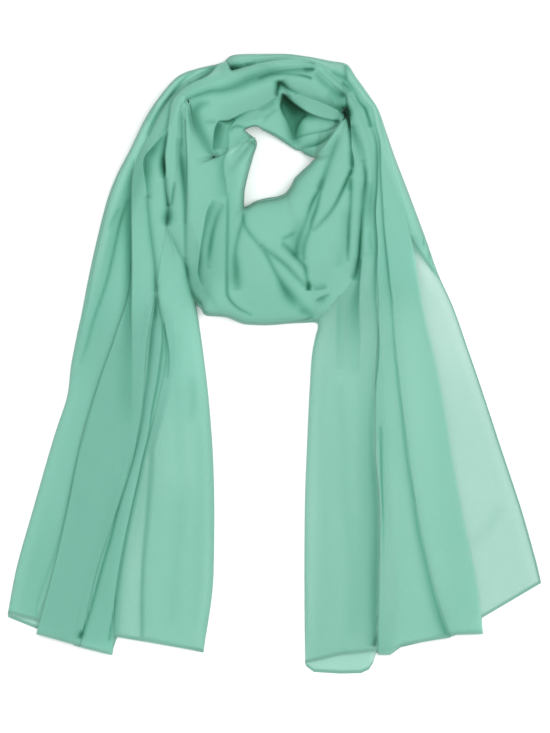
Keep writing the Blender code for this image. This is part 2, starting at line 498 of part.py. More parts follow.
def add_stretch(stretch, material):
    grid = build_grid(stretch)
    name = stretch["name"]
    if name in START_SEAMS:
        trim_end(grid, name, START_SEAMS[name], True)
    if name in END_SEAMS:
        trim_end(grid, name, END_SEAMS[name], False)
    stations, columns = grid.shape[:2]
    flat = grid.reshape(-1, 3)
    height = flat[:, 2] + fold_height(stretch["folds"], flat[:, :2])
    height = np.maximum(height, WALL / MILLIMETRE)
    top = np.zeros((len(flat), 3))
    top[:, 0] = (flat[:, 0] - PLAN_CENTRE[0]) * UNIT
    top[:, 1] = (PLAN_CENTRE[1] - flat[:, 1]) * UNIT
    top[:, 2] = height * MILLIMETRE
    bm = bmesh.new()
    upper = [[bm.verts.new(top[r * columns + c]) for c in range(columns)]
             for r in range(stations)]
    last = columns - 1
    left_notch = {}
    right_notch = {}
    if stretch["layered"]:
        left_notch, right_notch = [{r: bm.verts.new(side[r]) for r in range(first, stations)}
                                   for side, first in edge_notches(top, stations, columns)]
    lower = {}

    def base(r, c):
        if (r, c) not in lower:
            p = top[r * columns + c]
            lower[(r, c)] = bm.verts.new((p[0], p[1], 0.0))
        return lower[(r, c)]

    for r in range(stations - 1):
        for c in range(columns - 1):
            bm.faces.new((upper[r][c], upper[r + 1][c], upper[r + 1][c + 1], upper[r][c + 1]))
        for c, notches in ((0, left_notch), (last, right_notch)):
            if r in notches:
                bm.faces.new((upper[r][c], notches[r], notches[r + 1], upper[r + 1][c]))
                bm.faces.new((notches[r], base(r, c), base(r + 1, c), notches[r + 1]))
            elif r + 1 in notches:
                bm.faces.new((upper[r][c], notches[r + 1], upper[r + 1][c]))
                bm.faces.new((upper[r][c], base(r, c), base(r + 1, c), notches[r + 1]))
            else:
                bm.faces.new((upper[r][c], base(r, c), base(r + 1, c), upper[r + 1][c]))
    for r, flip in ((0, True), (stations - 1, False)):
        for c in range(columns - 1):
            ring = [upper[r][c], base(r, c), base(r, c + 1), upper[r][c + 1]]
            if c == 0 and r in left_notch:
                ring.insert(1, left_notch[r])
            if c == last - 1 and r in right_notch:
                ring.insert(len(ring) - 1, right_notch[r])
            bm.faces.new(ring[::-1] if flip else ring)
    sparse = [0] + stretch["base_columns"] + [last]
    for r in range(stations - 1):
        near_row = range(columns) if r == 0 else sparse
        far_row = range(columns) if r == stations - 2 else sparse
        if 0 < r < stations - 2:
            for a, b in zip(sparse[:-1], sparse[1:]):
                bm.faces.new((base(r, a), base(r, b), base(r + 1, b), base(r + 1, a)))
            continue
        ring = [base(r, c) for c in near_row] + [base(r + 1, c) for c in reversed(far_row)]
        bm.faces.new(ring)
    bmesh.ops.triangulate(bm, faces=bm.faces[:])
    bmesh.ops.recalc_face_normals(bm, faces=bm.faces[:])
    if bm.calc_volume(signed=True) < 0:
        bmesh.ops.reverse_faces(bm, faces=bm.faces[:])
    mesh = bpy.data.meshes.new(name)
    bm.to_mesh(mesh)
    bm.free()
    mesh.shade_smooth()
    mesh.set_sharp_from_angle(angle=math.radians(50))
    mesh.materials.append(material)
    obj = bpy.data.objects.new(name, mesh)
    bpy.context.scene.collection.objects.link(obj)
    return obj


def make_material(name):
    material = bpy.data.materials.new(name)
    material.use_nodes = True
    shader = material.node_tree.nodes["Principled BSDF"]
    shader.inputs["Base Color"].default_value = CLOTH_COLOUR
    shader.inputs["Roughness"].default_value = 0.85
    shader.inputs["Metallic"].default_value = 0.0
    material.diffuse_color = CLOTH_COLOUR
    return material


clear_scene()
for entry in STRETCHES:
    add_stretch(entry, make_material(entry["name"] + "_chiffon"))
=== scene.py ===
"""Chiffon scarf on a table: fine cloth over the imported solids, seen from straight above.

Every stretch of the scarf is a thin sheet that follows guide lines on a plan grid
(x to the right, y down, in units of the cloth's path).  A sheet's cross-section
runs through anchors on those lines, back and forth through its pleats.

The tables are text.  A point is x,y or x,y,height with the height in mm.  Several
numbers with spaces between them run evenly along a line.
"""

import itertools
import math

from types import SimpleNamespace

import bpy
import numpy as np

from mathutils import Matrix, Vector


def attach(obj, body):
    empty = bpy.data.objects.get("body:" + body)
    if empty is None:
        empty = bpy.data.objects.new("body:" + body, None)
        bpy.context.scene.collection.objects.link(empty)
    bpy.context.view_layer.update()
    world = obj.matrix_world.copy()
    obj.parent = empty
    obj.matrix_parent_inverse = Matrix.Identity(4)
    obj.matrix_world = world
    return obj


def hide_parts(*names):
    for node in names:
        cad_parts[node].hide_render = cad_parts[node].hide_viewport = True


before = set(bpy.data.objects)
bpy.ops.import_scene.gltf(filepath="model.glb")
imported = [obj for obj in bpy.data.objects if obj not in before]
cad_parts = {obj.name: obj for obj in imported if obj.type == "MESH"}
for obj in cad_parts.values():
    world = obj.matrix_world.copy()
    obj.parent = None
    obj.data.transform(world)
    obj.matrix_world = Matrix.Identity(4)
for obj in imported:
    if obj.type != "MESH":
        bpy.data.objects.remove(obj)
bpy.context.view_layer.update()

CLOTH_LENGTH = 1.800
PATH_IN_UNITS = 2070.0
UNIT = CLOTH_LENGTH / PATH_IN_UNITS
PLAN_SIZE = (550.0, 733.0)
PLAN_CENTRE = (274.5, 364.0)
MM = 0.001

# Seams between neighbouring stretches: a name, heights along the seam, and its points.
SEAMS = """
band; 5.5 12 19 22.5 23.5 24.5 25 25.5 25.5;
217.6,64.2 221,63 225,62.2 228.6,62.8 229.6,66 230.5,70.6 237,69.2 246,66.8 256,64 266,61.6 276,60.2
290,59 304,60.5 314.3,62.8

crest; 27 28.8 29.6 30.5 31.3 32.4 33.4 34.4 34;
314.4,69.2 302,69 290,70.5 276,72.6 266,76 248,82.5 226,90 212,91.6 200,95 193,98 188.5,101

band_end; 25.4 25 24;
313.8,62.6 318,64.2 324,66.4

crest_end; 26.8 26 25;
313.8,69.2 318,69.8 326,71.6

cross; 25.5 26 26.8 27.4 28 28 28 27.5 26.5;
314.5,62.5 315,70 324,80 334,88.5 342,94 346.2,98.6 347.6,105 348.6,111 349.6,117

back; 24 23.5 23.5 23 22.5 22.5 23 24 25.6;
347.2,121 340,113 332.5,107.5 318,101 304,97 290.5,93 282,87.5 277,96.5 270,100.5 257,108 239,116
227.5,122.6 222.5,136 215,157

bulge; 33 32.2 31.4 30.6 29.8 29 28.2 27.4 26.8;
188.5,101.5 193,125 201,142 214,157.5

left; 33 32.5 31 29.3 26.7 23 19.3 14.6 5.5;
187.5,101.5 182,106 180,116 178.5,140 177,163 173.7,190 171,209 168.7,224 175.7,246.5 183.8,261
187.8,277 190.2,287 192.6,295 195.2,301

right; 27 28 27 25.3 23.4 20.2 16 11 5.5;
347.3,113 350,119 353,130 359,143 363.5,161 365.4,181 363.4,203 361.8,219 360.6,241 358,263 352,278
345,289 336,298 326,310 317.6,322

collar; 26.8 26.8 26.4 25.6 24.6 23.4 21.6 19 15;
215,158 221.5,156 228,153 234,149.8 240,146 246,141.4 250.5,137.3

hollow; 22 24.5 27 28.5 29 29 28.5 27 25;
316.5,156.5 325,146.5 333,135.5 339,126.5 345,118.6
"""

# Guide lines of each stretch: their names, then one section across the stretch per line.
# A dash lies midway between its neighbours.
LEFT_GUIDES = """
outer shoulder pleat flap foot inner
322,64,22 322.6,65.6,23 323,67,23 323.4,68.4,23 - 324,71,22
307.4,61.4,25 308.8,63.2,26 310,64.7,27 311.2,66,27 312.2,67.3,27.5 313,68.7,27
300,60.2,26 300,62.5,28 300,64.5,29 300,66,29 - 300,67.8,28
285,59.6,26 285,62.2,28 285,64.5,29.5 285,66.6,30 - 285,69.3,29
266,61.6,24 266.5,64.6,28 267,67,30 267.5,69.6,31 - 268,73,30
246,66.8,23 247,69.4,27 248.4,72.6,30 250,76.6,31 - 251,82,31
232.6,70.3,21 233,72.4,27 233.6,75,30 234.8,79.4,32 - 236.4,87,32
226,62.6,15 227,68,24 228.4,73.4,29.5 229.6,79.4,32 - 230.6,88.6,32.5
217,64.4,5 216.5,68.2,18 217.5,73.6,28 219,81,33 - 220,91,33
197,68.8,5 199.5,74.5,19 203,80,29 206,85.5,34 - 208,91.5,34
178,76.4,5 182,85,21 187,88.6,30 191,92,35 - 195,96,35
160.5,95.5,5 166,103,21 172.5,101.8,29 180,99.5,34 - 187,101.5,35
145,119,5 151,130,20 165,127,28 172.5,121,33 - 180,116,35
130,150,5 136.5,161,18 146,160,27 164,152,30 - 178,150,34
117,175,4.5 131.3,182,17 145.5,180,25 163.2,174,27 - 175.5,178,32
107,201,4 131.2,214,15 148.3,211,22 166.4,199,24 - 172,203,29
97,240,4 131,244,13 151.5,240,18 165.6,229,20 - 168.7,226,24
89,276,3.8 130.4,272,11 154.8,268,14.5 160.4,259,16 - 182,258,18
82,312,3.6 127,300,10 155,293,12 157,290.5,13.5 161.5,290,12 191.5,288,13
77,335,3.4 117,331,9 149.5,326,9.5 164.5,322,12 169.5,322,9 196.4,307,5
71,366,3.2 104.5,366,8 145.6,359,8.6 165.6,358,10.5 170.5,358,7.4 203.7,356,3.4
67,397,3 92,403,7 143,402,7.6 157.5,402,8.6 162.5,402,6 209,402,3
53.4,439,3 79,450,6 135,453,6.8 144.6,453,7.4 149.5,453,5 213,455,2.8
34,506,3 66.5,512,5.6 117.5,510,6.4 131.8,508,6.8 136.5,508,4.4 214.4,508,2.8
16.8,567,3 53,572,5.2 98,566,6 119.2,568,6.2 123.5,568,4 213.7,571,2.8
7.6,616,2.8 36,630.3,5 81,637.8,5.6 110,637.8,5.6 116.5,635.8,3.8 205.4,650.8,2.8
"""
RIGHT_GUIDES = """
inner belly fold rim body foot outer
223,72,6 223.2,70.4,7 223.4,68.8,7 223.6,67,7 223.8,65.2,6 224,63.6,5 224.3,62,4
232,70.4,18 - 231.6,64,19 - 231.2,59,14 - 231,55.8,6
241,68.2,22 - 240.6,62.6,21 - 240,57.6,18 - 240,54.4,8
257,63.8,24 - 257,60.6,22 - 256.4,56.8,20 - 256,54,9
285,59.4,25 - 284.5,57.4,23 - 283,55.5,20 - 282,54,11
303,60.4,25.5 - 304,59,24 - 305,57.6,21 - 306,56.4,10
315,66,26 - 321,65.2,27 325,64.2,27 328,62.8,20 - 330.5,61,6
324.6,79.8,27 - 335,74.5,32 342,71,32 346,67.4,24 - 346.6,64.2,6
337,89.4,28 - 346,86,34 350,83.5,34 354,79,26 - 355.6,76.6,6
347,103,28 - 357,99.5,34 361,97,34 366,94.6,26 - 369.4,95.8,6
351,121,28 - 367,114.4,33 371.4,110.4,33 376,108.6,25 - 378.6,110.4,6
357.8,140,28 - 374.6,134.4,32 377,131.4,32 382,130.5,24 - 386,131.5,6
363.4,160,27 - 377.6,158,30 379.4,157,30 388,154.5,23 - 394,155,5
365.6,182,25 - 376.6,182,28 380,181.5,28 396,180,21 - 403.6,180,5
362.8,211,23 - 375,211.5,25 381.8,211,25 404,210,18 - 415.4,211,4
360.8,240,20 - 377.3,241,21 384.3,241,21 411.8,242,14 410.5,242,12.4 426.9,242,3.6
356,270,16 - 377,272,17 387.5,273,17 417,273,11 415.6,273,9.8 438.2,274,3
326.5,309,9 352,306,12 378.5,305,13 392.5,305,13 422.8,306,8.5 421.4,306,7.4 453.4,308,2.6
313.6,345,3.6 346,345,8 377.5,345,10.5 395.2,345,10.5 431.8,345,7 430.4,345,6 467.5,348,2.2
309.7,390,3.2 344,388,6.4 375.5,387,8.8 399.5,387,8.8 440.6,387,6 439.2,387,5.1 481,387,1.8
307.1,445,3 342,445,5.4 375.6,445,7.6 407,445,7.6 450,445,5.2 448.6,445,4.4 500.1,445,1.6
304.9,510,2.8 343,510,4.6 380,510,6.8 416.5,510,6.8 461.5,510,4.8 460,510,4 521,508,1.4
304.5,580,2.8 342,580,4.2 379.4,580,6.2 432,580,6.2 475.3,576,4.4 473.8,574,3.6 535,557,1.3
305,661,2.8 342,654.4,4 377,654.4,5.8 449.5,638.5,5.8 483,633.5,4.2 482,616.6,3 541.4,582,1.3
"""
ARCH_GUIDES = """
crest belly edge
321,67.5,25 341,80,26.5 353,108,13
315,70,27 329,84.5,29 345.5,111,19
302,68.8,29 315,83,30 329,105.5,22
291,69.3,30 298,81,30 308,96.6,20
281,70.8,30 282.4,78,29 282.4,87.4,19
272,73,31 275,85,30 277.2,96,19
258,77,31 263,90,30 266,102.6,19
245,81.5,32 250,96,31 252,110.6,19
230,87.6,33 236.5,102,31 238.6,116,19
214,91,34 222,106,32 227.4,123.4,19
203,93.8,35 210,113,32 222.8,136,18
195,97.4,35 203,121,31 218.6,148,18
189.4,103,32.8 198.6,134,30 213.2,154.4,25
184,106,29 192,138,26.6 208,160,21
"""
LOOP_GUIDES = """
outer ridge roll inner
183,98,30 185,98,31 187.4,98.4,31 191,99,30
184,105,31 186,105.5,33.5 188,106,34 189.8,106.6,31
181,111.6,30 184.4,112.5,34 188,114,35 191,115.6,30
179.6,126,29 184.6,127,34 190,128,35 194,128.6,29
178.4,142,28 184,143,34 191,146,34 202.4,144,27
177.4,157,27 185,159,34 196,164,34 215,159.4,26
176,174,27 187,174,34 206,175,34 235,149.6,24
173.6,191,26 190,190,34 216,183,34 252.4,139.2,18
171.6,206,25 192,204,33 222,191,34 257,144,13
168.9,223.4,24 191,216,32 223,201,34 252.9,158,12
175.8,246.4,22 195,234,31 222,212,34 248,176,12
183.6,261,20 200,247,30 224,223,34 244.6,193,11
188,277,17 205,258,28 229,231,33 244.2,206.6,11
195.6,301.4,10 213,272,26 236,237,32 248.5,205.5,11
201,309,6.5 217,276.4,25.5 239.5,239.4,32 252,203.4,11
206,315.4,5 222,280,25 243,241,32 255.6,201.2,11
226,317.4,5 235,284,25 252,243,32 262,199.2,11
247,324.6,5 253,287,25 262,243,32 268,197.8,11
268,325.2,5 270,287,25 272,242,32 274.4,197,11
290,323.6,5 287,284,25 282,239,32 280,195.6,11
316.8,321.6,6 304,277,26 291,233,32 285.6,193,11
336,297.6,12 319,262,28 300,225,33 288.4,189.6,11
351.6,278,17 330,246,30 307,216,33 291,185.4,11
358,262,20 336,232,31 312,206,33 294.4,178.6,11
360.4,242,23 341,217,32 318,195,33 298,174.8,12
361.6,220,25 344,202,32 323,185,33 302.6,170.2,12
363.4,200,26 347,187,33 328,175,33 306.8,166.6,13
365,180,27 349,172,33 332,165,33 312,161.4,14
362.8,160,28 350,156,33 336,152.6,32 317,156.6,26
358.4,142.4,28 349.6,141,33 340,139,31 326,145.4,29
352.6,129.6,28 347.6,130,31 342,130,29 334,134,29
350.4,121.4,27 348,121.2,29 345.4,121.2,28 343,121.4,27
352.5,113,17 350,112.4,17.5 347,112.4,17.5 343.4,113.4,17
"""
BACK_GUIDES = """
upper middle lower
213.6,160,21 219,160,23 225.4,158.6,24
217.4,152,22 222,153.4,24 227,153.2,25.4
220.6,143.6,17 230,145.4,22 238.6,145,24
223,136,17 236,138,21 248.6,135.2,17
228,124,17 237,127.4,19 245.4,129.9,11
240,116.6,18 248,121.6,17 256.2,126.4,9
253,111,18 258.6,119.4,16 264,131,9
264.6,104.6,18 269,118,15 275,136.8,9
276,98.4,17 280.6,117,13 287,144.5,9
282.4,89,17 289,115,10 296.6,150.3,9
291,94,21 297,117,11 301.4,151.4,9
304,97,22 307.6,121,12 305.6,154.8,9
318.4,101,22 320,123,14 315.4,156.8,16
331.8,108,22 329.4,125.6,15 325,145.6,21
338.4,113.2,22 336,123,17 332.8,135.6,22
343,116.8,24 340.4,121.6,22.5 337.4,128,19.5
350,113.4,16 349,120.4,16 345.4,130,15
"""

# Sheet layouts, one anchor across the cloth per line: two guide lines, the share of the
# way from the first to the second at the neck and in the tail (before and after the
# pleats fan out, where there are two), the height rule with its amount, the columns up
# to the next anchor, the crown of that panel in mm, its plies in the tail (or at the
# neck, at the tail's top and down the tail, and how far it looks like one sheer ply),
# and the anchor's own point on the hem, if it has one.  The rules: "floor" and "tuck"
# lie at the amount in mm, "top" is off the guide line's height by it, "over" too but low
# once it has moved to its place in the tail, and "edge" is at that share of the height.
LEFT_LAYOUT = """
foot inner 0 0.03,0.287 floor 0.6 12 0 0,0.5,0.55 143,641.4
outer foot 0.04 0.98 floor 0.6 4 0 1.4 117.4,636.6
outer foot 0.037 0.93 floor 0.6 6 0 1.7 111.4,653.6
outer foot 0.034 0.62 floor 0.6 6 0 1.4 79,645.2
outer foot 0.032 0.3 floor 0.6 2 0 1.2 41,633.6
outer foot 0.03 0.27 floor 0.6 8 0 1.15 38,629.2
outer outer 0 0 floor 0.5 2 0 1 8,617.2
outer outer 0 0 edge 0.42 24 0.9 1.32 7.9,613
shoulder shoulder 0 0 top -1.7 12 0 1 36,619.8
shoulder pleat 0.02 0.86 top -2.3 1 0 0.8 70,641.8
shoulder pleat 0.02 0.86 top -1.5 12 0 1 70,642.8
shoulder shoulder 0 0 top -0.8 2 0 1 37,632.8
shoulder shoulder 0 0 top 0 30 0.7 1.15 36.4,634.2
pleat pleat 0 0 top 0 2 0 1 80,646.2
pleat pleat 0 0 top -0.7 5 0 1 79.6,646.4
pleat shoulder 0.02 0.16 top -1.5 1 0 1 73,644.8
pleat shoulder 0.02 0.16 top -2.1 5 0 1 73,644.8
pleat pleat 0 0 top -1.5 18 0.3 1.7 80.6,647.4
flap flap 0 0 top 0 2 0 1 112.4,655.4
flap flap 0 0 top -0.7 5 0 1 113,651.8
flap pleat 0.02 0.4 top -1.6 1 0 1 108,651
flap pleat 0.02 0.4 top -2.3 5 0 1 108,650
flap flap 0 0 top -1.6 12 0 4,2.2,1 114,636.2
foot inner 0.2 0.17 top 0 30 0.5 4,2.3,1.05 130,639.2
inner inner 0 0 edge 0.5 2 0 4,1.6,1 203.6,651.8
inner inner 0 0 tuck 0.5 20 0 0,0,0.85 203.4,652.6
inner foot 0.06 0.98,0.745 tuck 0.6 0 0 1.2 141,638.8
"""
RIGHT_LAYOUT = """
outer body 1.14 0.03 over -2.2 16 0.4 1 539.6,583.2
outer outer 0 0 edge 0.5 2 0 1 541,582.4
outer outer 0 0 floor 0.6 26 0.3 1,1.05,1.32,1 541.2,583
foot foot 0 0 top -1 1 0 1,1,1 482,617.8
foot rim 0.02 0.03 floor 0.6 9 0 1 482.2,632
rim body 0 0.3 floor 0.6 10 0 1 456,634
rim fold 0.5 0.6 floor 0.6 10 0 1 376,653
fold fold 0 0 floor 0.6 2 0 1,1,1,0.4 373,663
fold belly 0 0.14 floor 0.6 2 0 1.3,1.3,1.4,0.4 369,669.4
fold belly 0.1 0.34 floor 0.6 8 0 1.3,1.3,1.4,0.4 361,673.2
belly belly 0 0 floor 0.6 12 0 1.2,1.2,1.4,0.4 340,673.6
inner belly 0 0.2 floor 0.6 3 0 1.2,1.2,1.4,0.4 314,672
inner inner 0 0 tuck 0.5 2 0 1.2,1.2,1.4,0.4 306.4,666.4
inner inner 0 0 edge 0.5 18 0.6 0.62 305.2,663
belly belly 0 0 top -0.8 18 0.6 0.7 342.5,654
fold fold 0 0 top -1.6 8 0 0.3 371,651
fold rim 0.02 0.35 top -2.3 1 0 0.05 392,651
fold rim 0.02 0.35 top -1.5 8 0 0.05 392,652
fold fold 0 0 top -0.7 2 0 1 377.8,653.6
fold fold 0 0 top 0 8 0.5 1 377.8,654.8
fold rim 0.2 0.2 top 0.5 6 0.3 1 390,655
fold rim 0.34 0.34 top 0.5 16 0.5 1 403.4,645
rim rim 0 0 top 0 2 0 1 450.4,637.4
rim rim 0 0 top -0.7 4 0 0.8 449.8,637
rim fold 0.02 0.12 top -1.5 1 0 0.8 443,638
rim fold 0.02 0.12 top -2.1 4 0 0.8 443,638
rim rim 0 0 top -1.5 4 0 1 451,636.8
rim body 0.14 0.16 top -1.2 20 0.6 1 456.4,634.8
body body 0 0 top 0 0 0 1 483.4,634.2
"""
LOOP_LAYOUT = """
outer ridge 0.12 0.12 tuck 0.6 4 0 4 -
outer outer 0 0 tuck 0.5 5 0 4 -
outer outer 0 0 edge 0.5 70 0 4 -
ridge ridge 0 0 top 0 60 0.6 4 -
roll roll 0 0 top 0 50 0 4 -
inner inner 0 0 edge 0.6 5 0 4 -
inner inner 0 0 tuck 0.5 4 0 4 -
inner roll 0.1 0.1 tuck 0.6 2 0 4 -
inner roll 0.12 0.12 floor 0.6 6 0 4 -
roll roll 0 0 floor 0.6 10 0 4 -
ridge ridge 0 0 floor 0.6 6 0 4 -
outer ridge 0.14 0.14 floor 0.6 0 0 4 -
"""
ARCH_LAYOUT = """
crest belly 0.03 0.03 tuck 0.5 3 0 4 -
crest crest 0 0 tuck 0.5 4 0 4 -
crest crest 0 0 edge 0.97 34 0.4 4 -
belly belly 0 0 top 0 34 0.4 4 -
edge edge 0 0 edge 0.97 4 0 4 -
edge edge 0 0 tuck 0.5 3 0 4 -
edge belly 0.03 0.03 tuck 0.6 0 0 4 -
"""
BACK_LAYOUT = """
upper middle 0.04 0.04 tuck 0.5 3 0 4 -
upper upper 0 0 tuck 0.5 4 0 4 -
upper upper 0 0 edge 0.95 34 0 4 -
middle middle 0 0 top 0 34 0 4 -
lower lower 0 0 edge 0.6 4 0 4 -
lower lower 0 0 tuck 0.5 3 0 4 -
lower middle 0.2 0.2 tuck 0.6 0 0 4 -
"""

